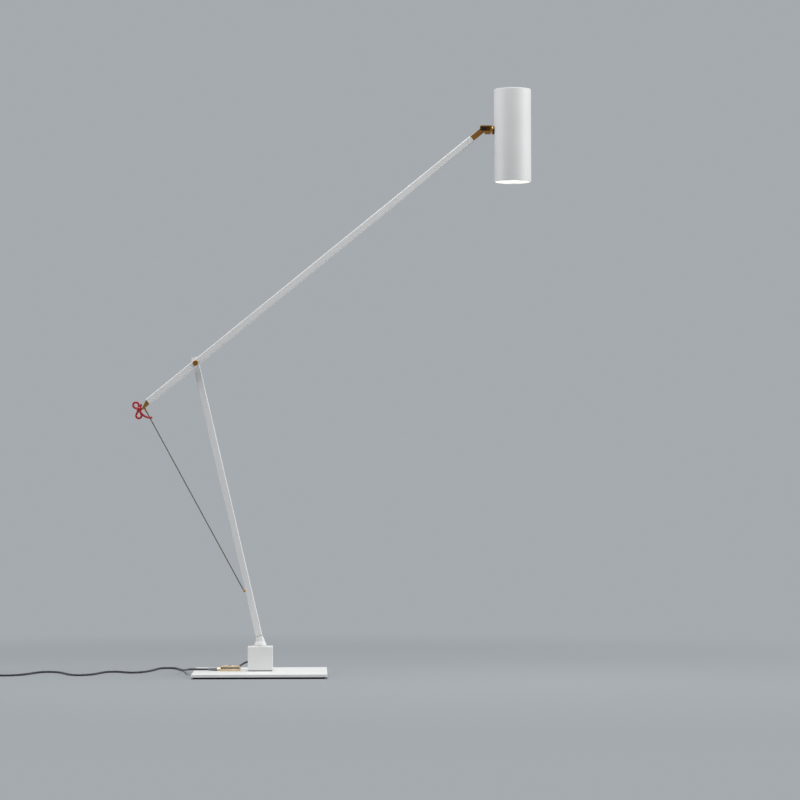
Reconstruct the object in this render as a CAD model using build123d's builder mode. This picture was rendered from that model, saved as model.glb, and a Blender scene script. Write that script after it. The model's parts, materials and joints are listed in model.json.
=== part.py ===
"""Counterweight balance desk lamp: a leaning mast on a cube foot carries a long arm in front of it.

Millimetres. The origin is the middle of the underside, on the table. +X points to the lamp head,
+Y to the back, +Z up.
"""

from build123d import *
import math
import os

os.makedirs("parts", exist_ok=True)

# ---------------------------------------------------------------- fits
SLIP = 0.05        # radial clearance of a shaft that turns in a bore
SEAT = 0.05        # clearance of a plug in a tube, or a screw in its hole
AIR = 0.3          # gap between shaped faces that must not touch

# ---------------------------------------------------------------- base
PLATE_SIDE = 200.0
PLATE_THICK = 4.2
PLATE_EDGE_R = 0.6
PAD_THICK = 2.8
PAD_INSET = 3.5
CUBE_SIDE = 37.0
CUBE_HEIGHT = 35.0
CUBE_EDGE_R = 0.8
SPACER_THICK = 2.0
SPACER_INSET = 1.2
POCKET_R = 13.0            # round pocket in the cube, open at the bottom
CUBE_TOP_WALL = 8.0
BASE_SCREW_R = 2.0
BASE_SCREW_HEAD_R = 3.8
BASE_SCREW_GRIP = 12.0     # how far the screws reach into the cube
BASE_SCREW_PITCH = 26.4
DRIVER_HEIGHT = 12.0
GLAND_R = 3.2
GLAND_OUT = 3.0
GLAND_X = -6.0
GLAND_RISE = 11.0          # above the cube's underside

# ---------------------------------------------------------------- swivel of the mast
SPINDLE_R = 4.0
SPINDLE_WIRE_R = 1.6
BUSH_WALL = 2.0
BUSH_FLANGE_R = 8.6
BUSH_FLANGE_THICK = 0.6
WASHER_THICK = 1.0
SPRING_RISE = 1.6
NUT_FLATS = 13.0
NUT_THICK = 5.0

# ---------------------------------------------------------------- mast
TUBE = 10.0                # square tube, outer width
TUBE_WALL = 1.0
TUBE_CORNER_R = 0.8
MAST_LEAN = 13.1           # degrees from upright, to the left
MAST_FOOT_X = 1.5          # where the mast's axis meets the foot's underside
DOME_R = 9.2
DOME_SKIRT = 0.4           # straight rim under the dome
NECK_START = 6.5           # along the mast's axis from the foot's underside
NECK_R = 6.9
MAST_START = 14.7
PIVOT_UP = 434.9           # from the foot's underside to the arm's pivot
MAST_OVER = 9.5            # mast above the pivot
CAP_THICK = 1.2
PLUG_LENGTH = 18.0

# ---------------------------------------------------------------- arm
ARM_RISE = 39.2            # degrees above level
ARM_REAR = 92.0            # pivot to the rear end of the tube
ARM_FRONT = 536.5          # pivot to the front end of the tube
ARM_GAP = 1.0              # friction washer between mast and arm
PIVOT_R = 2.5
PIVOT_SLEEVE_WALL = 1.0
PIVOT_HEAD_R = 4.2
PIVOT_HEAD_THICK = 2.2
PIVOT_NUT_THICK = 4.5
WIRE_R = 0.6
GRUB_R = 1.5

# ---------------------------------------------------------------- tail of the arm and the balance line
TIP_LENGTH = 15.2
TIP_END = 0.9              # height of the tip's blunt end
TIP_SLANT = 0.4            # its upper corner stands out by this much
TAIL_PIN_OUT = 9.6         # beyond the tube's end
TAIL_PIN_DROP = 2.1        # below the arm's axis
TAIL_PIN_R = 0.8
LINE_R = 0.9
LINE_BACK = 8.0            # the line hangs this far behind the arm's axis
EYE_R = 2.2
EYE_THICK = 2.0
EYE_BARREL = 7.0
EYE_BARREL_R = 1.3
TAIL_HEAD_R = 1.5
TAIL_HEAD_THICK = 0.6
EYELET_UP = 86.0           # along the mast from the foot's underside
EYELET_R = 1.9
EYELET_STEP = 0.5          # the eyelet's sleeve in the wall is this much thinner
EYELET_OUT = 3.0
LINE_OUT = 1.8             # the line's end stands this far off the mast

# ---------------------------------------------------------------- head joint
TONGUE_REACH = 23.5        # arm tube's front end to the hinge pin
PIN_R = 2.0
TONGUE = 8.0
TONGUE_THICK = 4.0
TONGUE_THIN_FROM = 13.0    # from the pin, where the full bar begins
KNUCKLE_DEPTH = 11.2
KNUCKLE_HEIGHT = 10.0
KNUCKLE_LEFT = 5.8         # left of the pin
KNUCKLE_RIGHT = 12.0       # right of the pin, up to the flange
SLOT_RIGHT = 4.8
CHANNEL_DEPTH = 1.0
CHANNEL_HEIGHT = 6.8
LUG_DROP = 2.5
LUG_LEFT = 1.3             # right of the pin
LUG_RIGHT = 10.0
FLANGE_R = 6.2
FLANGE_THICK = 1.4
STEM_DROP = 1.9            # stem axis below the pin
STEM_R = 2.5
STEM_SEAT = 7.4            # how far the stem reaches into the knuckle
STEM_NUT_FLATS = 8.0
STEM_NUT_THICK = 3.0
BACKING_R = 5.5
BACKING_THICK = 2.2
WIRE_HOLE_R = 1.0
SADDLE_THICK = 1.8
HINGE_HEAD_R = 2.85
HINGE_HEAD_THICK = 1.3
HINGE_NUT_FLATS = 7.0
HINGE_NUT_THICK = 2.4

# ---------------------------------------------------------------- head
SHADE_R = 28.0
SHADE_WALL = 1.5
HEAD_LENGTH = 140.0
HEAD_BELOW = 78.3          # rim below the stem
TOP_CAP_THICK = 2.0
TOP_CAP_SPIGOT = 6.0
LAMP_R = 25.0
LAMP_LENGTH = 50.0
LAMP_RECESS = 12.0         # lamp's front above the rim
RING_WIDTH = 3.6
RING_THICK = 2.4
LENS_THICK = 1.5
HOLDER_R = 13.0
HOLDER_HEIGHT = 22.0
LAMP_PIN_R = 2.2
LAMP_PIN_PITCH = 10.0
LAMP_PIN_LENGTH = 6.0
LAMP_GLASS = 1.2
LAMP_RIM_Z = 6.0           # heights above the lamp's front
LAMP_BELLY_R = 19.5
LAMP_BELLY_Z = 24.0
LAMP_NECK_Z = 38.0
LAMP_BASE_R = 11.0
LAMP_WELL_R = 9.0
LAMP_WELL_Z = 35.0
POST_R = 4.0

# ---------------------------------------------------------------- dimmer on the plate
DIMMER_LEFT = -60.0
DIMMER_LENGTH = 30.7
DIMMER_HEIGHT = 8.0
DIMMER_DEPTH = 20.0
DIMMER_Y = -2.0
DIMMER_END_R = 3.6
DIMMER_TOP_WALL = 2.2
DIMMER_SLOT = 2.1
KNOB_LENGTH = 3.0
KNOB_WIDTH = 2.4
KNOB_RISE = 0.9
KNOB_TRAVEL = 5.0
KNOB_X = -45.7
DIMMER_END_WALL = 1.7
CORE_BACK = 1.0            # the core stands back from the frame's faces
COLLAR_R = 2.6
COLLAR_LENGTH = 4.6
RELIEF_LENGTH = 14.0
RELIEF_END_R = 1.9
CORD_EXIT_Z = 9.7
JUMPER_X = -36.0
JUMPER_Z = 8.9

# ---------------------------------------------------------------- mains cord, coil and plug
CORD_R = 1.5
BEND_SHARE = 0.45          # of the shorter run beside a bend
COIL_STEP = 3.9            # from turn to turn, and from layer to layer
COIL_OUTER_R = 21.9
COIL_LAYER_TURNS = 2
COIL_LAST_TURNS = 0.75
COIL_CENTRE_X = -428.0
COIL_START_Y = -3.0
COIL_Z = 2.3               # centre of the lowest turns
COIL_LOOK = 0.02           # quarter turns looked ahead and back for a direction
COIL_CHECKS = 24           # points on each quarter turn when the gap is measured
TIE_THICK = 0.5
TIE_WIDTH = 6.0
TIE_SLACK = 0.6
PLUG_WIDTH = 35.0
PLUG_BODY_LENGTH = 26.0
PLUG_HEIGHT = 13.0
PLUG_PIN_R = 2.0
PLUG_PIN_LENGTH = 19.0
PLUG_PIN_PITCH = 18.6
PLUG_PIN_ROOT = 9.0
PLUG_NECK_WIDTH = 14.0
PLUG_CORD_IN = 8.0
PLUG_X = -434.0
PLUG_START_Y = 84.0

# ---------------------------------------------------------------- ornament at the tail, seen from the front
BOW_ROD_R = 1.6
BOW_KNOT_R = 4.0
BOW_UPPER_R = 4.2
BOW_LOWER_R = 4.1

# ---------------------------------------------------------------- places worked out from the sizes above
PLATE_TOP = PAD_THICK + PLATE_THICK
CUBE_BOTTOM = PLATE_TOP + SPACER_THICK
CUBE_TOP = CUBE_BOTTOM + CUBE_HEIGHT
FOOT_Z = CUBE_TOP + BUSH_FLANGE_THICK
DOME_Z = FOOT_Z + DOME_SKIRT
BUSH_BORE_R = SPINDLE_R + SLIP
BUSH_R = BUSH_BORE_R + BUSH_WALL
WALL_UNDER = CUBE_TOP - CUBE_TOP_WALL
SPRING_TOP = WALL_UNDER - WASHER_THICK
NUT_TOP = SPRING_TOP - SPRING_RISE
SPINDLE_BOTTOM = NUT_TOP - NUT_THICK - 1.0
HALF = TUBE / 2
BORE = TUBE - 2 * TUBE_WALL
PLUG = BORE - 2 * SEAT
ARM_Y = -(TUBE + ARM_GAP)

lean = math.radians(MAST_LEAN)
rise = math.radians(ARM_RISE)
MAST_DIR = Vector(-math.sin(lean), 0, math.cos(lean))
MAST_SIDE = Vector(math.cos(lean), 0, math.sin(lean))
ARM_DIR = Vector(math.cos(rise), 0, math.sin(rise))
ARM_UP = Vector(-math.sin(rise), 0, math.cos(rise))
FOOT = Vector(MAST_FOOT_X, 0, FOOT_Z)
PIVOT = FOOT + MAST_DIR * PIVOT_UP
ARM_PIVOT = PIVOT + Vector(0, ARM_Y, 0)
PIN_OUT = ARM_FRONT + TONGUE_REACH
PIN = ARM_PIVOT + ARM_DIR * PIN_OUT
TAIL_PIN = ARM_PIVOT - ARM_DIR * (ARM_REAR + TAIL_PIN_OUT) - ARM_UP * TAIL_PIN_DROP
FLANGE_FACE = PIN.X + KNUCKLE_RIGHT + FLANGE_THICK
STEM_Z = PIN.Z - STEM_DROP
HEAD_X = FLANGE_FACE + SADDLE_THICK + SHADE_R
RIM_Z = STEM_Z - HEAD_BELOW
HEAD_TOP = RIM_Z + HEAD_LENGTH
SHADE_BORE_R = SHADE_R - SHADE_WALL
LAMP_FRONT = RIM_Z + LAMP_RECESS
LAMP_BACK = LAMP_FRONT + LAMP_LENGTH
SHADE_INSIDE = HEAD_X - SHADE_BORE_R
FLANGE_PLANE = Plane(origin=(FLANGE_FACE, ARM_Y, STEM_Z), x_dir=(0, 1, 0), z_dir=(1, 0, 0))

LINE_Y = ARM_Y + LINE_BACK
EYELET = FOOT + MAST_DIR * EYELET_UP - MAST_SIDE * (HALF + LINE_OUT) + Vector(0, LINE_Y, 0)
EYELET_PLANE = Plane(origin=EYELET + MAST_SIDE * LINE_OUT, x_dir=MAST_DIR, z_dir=-MAST_SIDE)
LINE_TOP = Vector(TAIL_PIN.X, LINE_Y, TAIL_PIN.Z)
LINE_DIR = (LINE_TOP - EYELET).normalized()

TIP_POINT = ARM_PIVOT - ARM_DIR * (ARM_REAR + TIP_LENGTH + TIP_SLANT) - ARM_UP * (TONGUE / 2 - TIP_END)
BOW_KNOT = TIP_POINT + Vector(-3.0, 0, 1.2)
BOW_UPPER = BOW_KNOT + Vector(-4.9, 0, 6.3)
BOW_LOWER = BOW_KNOT + Vector(-0.5, 0, -9.3)
BOW_TAIL_BEND = BOW_KNOT + Vector(7.0, 0, -9.4)
BOW_TAIL_END = BOW_KNOT + Vector(18.5, 0, -12.4)
BOW_SHORT_END = BOW_KNOT + Vector(2.9, 0, 6.6)

CORD_REST = CORD_R + SEAT
COIL_CENTRE_Y = COIL_START_Y + COIL_OUTER_R


def mast_plane(along):
    """The plane across the mast at a distance from the foot's underside; local x points right."""
    return Plane(origin=FOOT + MAST_DIR * along, x_dir=MAST_SIDE, z_dir=MAST_DIR)


def arm_plane(along):
    """The plane across the arm at a distance from its pivot; local x points up from the arm."""
    return Plane(origin=ARM_PIVOT + ARM_DIR * along, x_dir=ARM_UP, z_dir=ARM_DIR)


def side_plane(point, y):
    """An upright plane facing the front at depth y, with local x to the right and y up."""
    return Plane(origin=(point.X, y, point.Z), x_dir=(1, 0, 0), z_dir=(0, -1, 0))


def across_plane(point, x_dir, y):
    """An upright plane facing the front at depth y, with local x along a piece of the lamp."""
    return Plane(origin=(point.X, y, point.Z), x_dir=x_dir, z_dir=(0, -1, 0))


def teardrop(knot, centre, radius):
    """A loop that leaves the knot, goes round a circle and comes back; drawn in the line being built."""
    away = centre - knot
    half = math.degrees(math.asin(radius / away.length))
    straight = math.sqrt(away.length ** 2 - radius ** 2)
    out = away.normalized().rotate(Axis.Y, half)
    back = away.normalized().rotate(Axis.Y, -half)
    Line(knot, knot + out * straight)
    TangentArc(knot + out * straight, knot + back * straight, tangent=out)
    Line(knot + back * straight, knot)


def bend_radii(route):
    """Bend radii of a cord's route: each bend takes up nearly half of the shorter run beside it."""
    points = [Vector(*point) for point in route]
    radii = []
    for before, corner, after in zip(points, points[1:], points[2:]):
        half_turn = math.radians((corner - before).get_angle(after - corner)) / 2
        shorter = min((corner - before).length, (after - corner).length)
        radii.append(BEND_SHARE * shorter / math.tan(half_turn))
    return radii


def finish(part, name):
    """Label a finished piece and write it out."""
    part.label = name
    export_step(part, f"parts/{name}.step")


# ================================================================ base
with BuildPart() as underside_pad:
    with BuildSketch(Plane.XY):
        Rectangle(PLATE_SIDE - 2 * PAD_INSET, PLATE_SIDE - 2 * PAD_INSET)
    extrude(amount=PAD_THICK)
finish(underside_pad.part, "underside_pad")

screw_places = GridLocations(BASE_SCREW_PITCH, BASE_SCREW_PITCH, 2, 2)
with BuildPart() as base_plate:
    with BuildSketch(Plane.XY.offset(PAD_THICK)):
        Rectangle(PLATE_SIDE, PLATE_SIDE)
    extrude(amount=PLATE_THICK)
    fillet(base_plate.edges().filter_by(Axis.Z), PLATE_EDGE_R)
    fillet(base_plate.faces().sort_by(Axis.Z)[-1].edges(), PLATE_EDGE_R)
    with BuildSketch(Plane.XY.offset(PAD_THICK)):
        with screw_places:
            Circle(BASE_SCREW_R + SEAT)
    extrude(amount=PLATE_THICK, mode=Mode.SUBTRACT)
    with BuildSketch(Plane.XY.offset(PAD_THICK)):
        with screw_places:
            Circle(BASE_SCREW_HEAD_R + SEAT)
    extrude(amount=BASE_SCREW_HEAD_R - BASE_SCREW_R, taper=45, mode=Mode.SUBTRACT)
finish(base_plate.part, "base_plate")

with BuildPart() as cube_spacer:
    with BuildSketch(Plane.XY.offset(PLATE_TOP)):
        Rectangle(CUBE_SIDE - 2 * SPACER_INSET, CUBE_SIDE - 2 * SPACER_INSET)
        with screw_places:
            Circle(BASE_SCREW_R + SEAT, mode=Mode.SUBTRACT)
    extrude(amount=SPACER_THICK)
finish(cube_spacer.part, "cube_spacer")

with BuildPart() as base_screws:
    with BuildSketch(Plane.XY.offset(PAD_THICK)):
        with screw_places:
            Circle(BASE_SCREW_R)
    extrude(amount=PLATE_THICK + SPACER_THICK + BASE_SCREW_GRIP)
    with BuildSketch(Plane.XY.offset(PAD_THICK)):
        with screw_places:
            Circle(BASE_SCREW_HEAD_R)
    extrude(amount=BASE_SCREW_HEAD_R - BASE_SCREW_R, taper=45)
    with BuildSketch(Plane.XY.offset(PAD_THICK)):
        with screw_places:
            RegularPolygon(BASE_SCREW_R * 0.6, 6)
    extrude(amount=BASE_SCREW_R * 0.6, mode=Mode.SUBTRACT)
finish(base_screws.part, "base_screws")

gland_z = CUBE_BOTTOM + GLAND_RISE
back_plane = Plane(origin=(GLAND_X, CUBE_SIDE / 2, gland_z), x_dir=(-1, 0, 0), z_dir=(0, 1, 0))
with BuildPart() as cube_housing:
    with BuildSketch(Plane.XY.offset(CUBE_BOTTOM)):
        Rectangle(CUBE_SIDE, CUBE_SIDE)
    extrude(amount=CUBE_HEIGHT)
    fillet(cube_housing.edges(), CUBE_EDGE_R)
    with BuildSketch(Plane.XY.offset(CUBE_BOTTOM)):
        Circle(POCKET_R)
    extrude(amount=CUBE_HEIGHT - CUBE_TOP_WALL, mode=Mode.SUBTRACT)
    with BuildSketch(Plane.XY.offset(WALL_UNDER)):
        Circle(BUSH_R + SEAT)
    extrude(amount=CUBE_TOP_WALL, mode=Mode.SUBTRACT)
    with BuildSketch(Plane.XY.offset(CUBE_BOTTOM)):
        with screw_places:
            Circle(BASE_SCREW_R + SEAT)
    extrude(amount=BASE_SCREW_GRIP + 1.0, mode=Mode.SUBTRACT)
    with BuildSketch(back_plane):
        Circle(CORD_R + 2 * SEAT)
    extrude(amount=-CUBE_SIDE / 2, mode=Mode.SUBTRACT)
finish(cube_housing.part, "cube_housing")

with BuildPart() as cube_gland:
    with BuildSketch(back_plane):
        Circle(GLAND_R)
        Circle(CORD_R + SEAT, mode=Mode.SUBTRACT)
    extrude(amount=GLAND_OUT)
    fillet(cube_gland.faces().sort_by(Axis.Y)[-1].edges().sort_by(SortBy.RADIUS)[-1], 0.8)
finish(cube_gland.part, "cube_gland")

with BuildPart() as driver_module:
    with BuildSketch(Plane.XY.offset(CUBE_BOTTOM)):
        Circle(POCKET_R - AIR)
    extrude(amount=DRIVER_HEIGHT)
    fillet(driver_module.faces().sort_by(Axis.Z)[-1].edges(), 1.0)
finish(driver_module.part, "driver_module")

with BuildPart() as swivel_bush:
    with BuildSketch(Plane.XY.offset(WALL_UNDER)):
        Circle(BUSH_R)
    extrude(amount=CUBE_TOP_WALL)
    with BuildSketch(Plane.XY.offset(CUBE_TOP)):
        Circle(BUSH_FLANGE_R)
    extrude(amount=BUSH_FLANGE_THICK)
    with BuildSketch(Plane.XY.offset(WALL_UNDER)):
        Circle(BUSH_BORE_R)
    extrude(amount=FOOT_Z - WALL_UNDER, mode=Mode.SUBTRACT)
finish(swivel_bush.part, "swivel_bush")

# ================================================================ mast
with BuildPart() as mast_foot:
    with BuildSketch(Plane.XZ):
        with BuildLine():
            Polyline((0, DOME_Z + DOME_R), (0, FOOT_Z), (DOME_R, FOOT_Z), (DOME_R, DOME_Z))
            CenterArc((0, DOME_Z), DOME_R, 0, 90)
        make_face()
    revolve(axis=Axis.Z)
    with BuildSketch(mast_plane(NECK_START)):
        Circle(NECK_R)
    with BuildSketch(mast_plane(MAST_START)):
        RectangleRounded(TUBE, TUBE, TUBE * 0.3)
    loft()
    with BuildSketch(mast_plane(MAST_START)):
        RectangleRounded(PLUG, PLUG, TUBE_CORNER_R)
    extrude(amount=PLUG_LENGTH)
    with BuildSketch(Plane.XY.offset(SPINDLE_BOTTOM)):
        Circle(SPINDLE_R)
    extrude(amount=FOOT_Z - SPINDLE_BOTTOM + 1.0)
    with BuildSketch(Plane.XY.offset(SPINDLE_BOTTOM)):
        Circle(SPINDLE_WIRE_R)
    extrude(amount=FOOT_Z - SPINDLE_BOTTOM + DOME_R / 2, mode=Mode.SUBTRACT)
    with BuildSketch(mast_plane(DOME_R / 3)):
        Circle(SPINDLE_WIRE_R)
    extrude(amount=MAST_START + PLUG_LENGTH, mode=Mode.SUBTRACT)
finish(mast_foot.part, "mast_foot")

with BuildPart() as thrust_washer:
    with BuildSketch(Plane.XY.offset(SPRING_TOP)):
        Circle(NUT_FLATS / 2 + 1.0)
        Circle(SPINDLE_R + SEAT, mode=Mode.SUBTRACT)
    extrude(amount=WASHER_THICK)
finish(thrust_washer.part, "thrust_washer")

with BuildPart() as spring_washer:
    with BuildSketch(Plane.XZ):
        with BuildLine():
            Polyline(
                (SPINDLE_R + SEAT, NUT_TOP),
                (SPINDLE_R + 1.0, NUT_TOP),
                (NUT_FLATS / 2, SPRING_TOP - 0.7),
                (NUT_FLATS / 2, SPRING_TOP),
                (SPINDLE_R + SEAT, NUT_TOP + 0.7),
                close=True,
            )
        make_face()
    revolve(axis=Axis.Z)
finish(spring_washer.part, "spring_washer")

with BuildPart() as swivel_nut:
    with BuildSketch(Plane.XY.offset(NUT_TOP - NUT_THICK)):
        RegularPolygon(NUT_FLATS / 2, 6, major_radius=False)
        Circle(SPINDLE_R + SEAT, mode=Mode.SUBTRACT)
    extrude(amount=NUT_THICK)
finish(swivel_nut.part, "swivel_nut")

mast_end = PIVOT_UP + MAST_OVER - CAP_THICK
with BuildPart() as mast_tube:
    with BuildSketch(mast_plane(MAST_START)):
        RectangleRounded(TUBE, TUBE, TUBE_CORNER_R)
        Rectangle(BORE, BORE, mode=Mode.SUBTRACT)
    extrude(amount=mast_end - MAST_START)
    with BuildSketch(side_plane(PIVOT, -HALF)):
        Circle(PIVOT_R + SLIP + PIVOT_SLEEVE_WALL + SEAT)
    extrude(amount=-TUBE, mode=Mode.SUBTRACT)
    with BuildSketch(EYELET_PLANE):
        Circle(EYELET_R - EYELET_STEP + SEAT)
    extrude(amount=-TUBE_WALL * 1.5, mode=Mode.SUBTRACT)
finish(mast_tube.part, "mast_tube")

with BuildPart() as mast_top_cap:
    with BuildSketch(mast_plane(mast_end)):
        RectangleRounded(TUBE, TUBE, TUBE_CORNER_R)
    extrude(amount=CAP_THICK)
    with BuildSketch(mast_plane(mast_end)):
        RectangleRounded(PLUG, PLUG, TUBE_CORNER_R)
    extrude(amount=-(MAST_OVER - CAP_THICK - PIVOT_R - PIVOT_SLEEVE_WALL - 1.0))
finish(mast_top_cap.part, "mast_top_cap")

sleeve_r = PIVOT_R + SLIP + PIVOT_SLEEVE_WALL
with BuildPart() as mast_bush:
    with BuildSketch(side_plane(PIVOT, -HALF)):
        Circle(sleeve_r)
        Circle(PIVOT_R + SLIP, mode=Mode.SUBTRACT)
    extrude(amount=-TUBE)
finish(mast_bush.part, "mast_bush")

with BuildPart() as friction_washer:
    with BuildSketch(side_plane(PIVOT, -HALF)):
        Circle(HALF)
        Circle(PIVOT_R + SLIP, mode=Mode.SUBTRACT)
    extrude(amount=ARM_GAP)
finish(friction_washer.part, "friction_washer")

wire_side = BORE / 2 - WIRE_R - 0.1
wire_spots = [(wire_side, wire_side), (wire_side, wire_side - 2 * WIRE_R - 0.1)]
with BuildPart() as mast_wires:
    with BuildSketch(mast_plane(MAST_START + PLUG_LENGTH)):
        with Locations(*wire_spots):
            Circle(WIRE_R)
    extrude(amount=PIVOT_UP - sleeve_r - 2.0 - MAST_START - PLUG_LENGTH)
finish(mast_wires.part, "mast_wires")

# ================================================================ arm
grub_outs = (-ARM_REAR + PLUG_LENGTH / 2, ARM_FRONT - PLUG_LENGTH / 2)
with BuildPart() as arm_tube:
    with BuildSketch(arm_plane(-ARM_REAR)):
        RectangleRounded(TUBE, TUBE, TUBE_CORNER_R)
        Rectangle(BORE, BORE, mode=Mode.SUBTRACT)
    extrude(amount=ARM_REAR + ARM_FRONT)
    with BuildSketch(side_plane(ARM_PIVOT, ARM_Y - HALF)):
        Circle(sleeve_r + SEAT)
    extrude(amount=-TUBE, mode=Mode.SUBTRACT)
    for out in grub_outs:
        with BuildSketch(side_plane(ARM_PIVOT + ARM_DIR * out, ARM_Y + HALF - TUBE_WALL)):
            Circle(GRUB_R + SEAT)
        extrude(amount=-TUBE_WALL, mode=Mode.SUBTRACT)
finish(arm_tube.part, "arm_tube")

with BuildPart() as arm_bush:
    with BuildSketch(side_plane(ARM_PIVOT, ARM_Y - HALF)):
        Circle(sleeve_r)
        Circle(PIVOT_R + SEAT, mode=Mode.SUBTRACT)
    extrude(amount=-TUBE)
finish(arm_bush.part, "arm_bush")

with BuildPart() as pivot_screw:
    with BuildSketch(side_plane(ARM_PIVOT, ARM_Y - HALF)):
        Circle(PIVOT_HEAD_R)
    extrude(amount=PIVOT_HEAD_THICK)
    fillet(pivot_screw.faces().sort_by(Axis.Y)[0].edges(), 0.6)
    with BuildSketch(side_plane(ARM_PIVOT, ARM_Y - HALF)):
        Circle(PIVOT_R)
    extrude(amount=-(2 * TUBE + ARM_GAP + PIVOT_NUT_THICK - 1.0))
    with BuildSketch(side_plane(ARM_PIVOT, ARM_Y - HALF - PIVOT_HEAD_THICK)):
        RegularPolygon(PIVOT_R, 6, major_radius=False)
    extrude(amount=-PIVOT_HEAD_THICK * 0.7, mode=Mode.SUBTRACT)
finish(pivot_screw.part, "pivot_screw")

with BuildPart() as pivot_nut:
    with BuildSketch(Plane(origin=(PIVOT.X, HALF, PIVOT.Z), x_dir=(-1, 0, 0), z_dir=(0, 1, 0))):
        Circle(PIVOT_HEAD_R)
    extrude(amount=PIVOT_NUT_THICK)
    fillet(pivot_nut.faces().sort_by(Axis.Y)[-1].edges(), 1.2)
    with BuildSketch(side_plane(PIVOT, HALF)):
        Circle(PIVOT_R + SEAT)
    extrude(amount=-(PIVOT_NUT_THICK - 0.9), mode=Mode.SUBTRACT)
finish(pivot_nut.part, "pivot_nut")

with BuildPart() as arm_wires:
    with BuildSketch(arm_plane(sleeve_r + 2.0)):
        with Locations(*wire_spots):
            Circle(WIRE_R)
    extrude(amount=ARM_FRONT - PLUG_LENGTH - sleeve_r - 2.5)
finish(arm_wires.part, "arm_wires")

with BuildPart() as arm_front_tongue:
    with BuildSketch(arm_plane(ARM_FRONT)):
        RectangleRounded(PLUG, PLUG, TUBE_CORNER_R)
    extrude(amount=-PLUG_LENGTH)
    with BuildSketch(arm_plane(ARM_FRONT)):
        RectangleRounded(TONGUE, TONGUE, 0.6)
    extrude(amount=TONGUE_REACH - TONGUE_THIN_FROM)
    with BuildSketch(across_plane(PIN, ARM_DIR, ARM_Y - TONGUE_THICK / 2)):
        with Locations((-TONGUE_THIN_FROM / 2, 0)):
            Rectangle(TONGUE_THIN_FROM, TONGUE)
        Circle(TONGUE / 2)
        Circle(PIN_R + SLIP, mode=Mode.SUBTRACT)
    extrude(amount=-TONGUE_THICK)
finish(arm_front_tongue.part, "arm_front_tongue")

with BuildPart() as arm_rear_tip:
    with BuildSketch(arm_plane(-ARM_REAR)):
        RectangleRounded(PLUG, PLUG, TUBE_CORNER_R)
    extrude(amount=PLUG_LENGTH)
    with BuildSketch(across_plane(ARM_PIVOT, ARM_DIR, ARM_Y - TONGUE / 2)):
        with BuildLine():
            Polyline(
                (-ARM_REAR, TONGUE / 2),
                (-ARM_REAR, -TONGUE / 2),
                (-ARM_REAR - TIP_LENGTH, -TONGUE / 2),
                (-ARM_REAR - TIP_LENGTH - TIP_SLANT, -TONGUE / 2 + TIP_END),
                close=True,
            )
        make_face()
    extrude(amount=-TONGUE)
    with BuildSketch(side_plane(TAIL_PIN, ARM_Y - TONGUE / 2)):
        Circle(TAIL_PIN_R + SEAT)
    extrude(amount=-TONGUE, mode=Mode.SUBTRACT)
finish(arm_rear_tip.part, "arm_rear_tip")

with BuildPart() as arm_grub_screws:
    for out in grub_outs:
        with BuildSketch(side_plane(ARM_PIVOT + ARM_DIR * out, ARM_Y + HALF - TUBE_WALL)):
            Circle(GRUB_R)
            RegularPolygon(GRUB_R * 0.5, 6, mode=Mode.SUBTRACT)
        extrude(amount=-TUBE_WALL)
finish(arm_grub_screws.part, "arm_grub_screws")

# ================================================================ tail of the arm, ornament and balance line
with BuildPart() as tail_pin:
    with BuildSketch(side_plane(TAIL_PIN, ARM_Y - TONGUE / 2)):
        Circle(TAIL_PIN_R)
    extrude(amount=-(TONGUE / 2 + LINE_BACK + EYE_THICK / 2))
    with BuildSketch(side_plane(TAIL_PIN, LINE_Y + EYE_THICK / 2)):
        Circle(TAIL_HEAD_R)
    extrude(amount=-TAIL_HEAD_THICK)
finish(tail_pin.part, "tail_pin")

with BuildPart() as line_end_eye:
    with BuildSketch(side_plane(TAIL_PIN, LINE_Y - EYE_THICK / 2)):
        Circle(EYE_R)
    extrude(amount=-EYE_THICK)
    with BuildSketch(Plane(origin=LINE_TOP - LINE_DIR * (EYE_R + EYE_BARREL), z_dir=LINE_DIR)):
        Circle(EYE_BARREL_R)
    extrude(amount=EYE_BARREL + 0.5)
    with BuildSketch(side_plane(TAIL_PIN, LINE_Y - EYE_THICK / 2)):
        Circle(TAIL_PIN_R + SEAT)
    extrude(amount=-EYE_THICK, mode=Mode.SUBTRACT)
    with BuildSketch(Plane(origin=LINE_TOP - LINE_DIR * (EYE_R + EYE_BARREL), z_dir=LINE_DIR)):
        Circle(LINE_R + SEAT)
    extrude(amount=EYE_BARREL - 1.0, mode=Mode.SUBTRACT)
finish(line_end_eye.part, "line_end_eye")

with BuildPart() as red_bow:
    with BuildLine() as upper_loop:
        teardrop(BOW_KNOT, BOW_UPPER, BOW_UPPER_R)
    with BuildLine() as lower_loop:
        teardrop(BOW_KNOT, BOW_LOWER, BOW_LOWER_R)
    with BuildLine() as long_tail:
        ThreePointArc(BOW_KNOT, BOW_TAIL_BEND, BOW_TAIL_END)
    with BuildLine() as short_tail:
        Line(BOW_KNOT, BOW_SHORT_END)
    for curl in (upper_loop, lower_loop, long_tail, short_tail):
        with BuildSketch(Plane(origin=curl.line @ 0, z_dir=curl.line % 0)):
            Circle(BOW_ROD_R)
        sweep(path=curl.wires()[0])
    with Locations(BOW_TAIL_END, BOW_SHORT_END):
        Sphere(BOW_ROD_R)
    with Locations(BOW_KNOT):
        Sphere(BOW_KNOT_R)
    add(arm_rear_tip.part, mode=Mode.SUBTRACT)
finish(red_bow.part, "red_bow")

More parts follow.
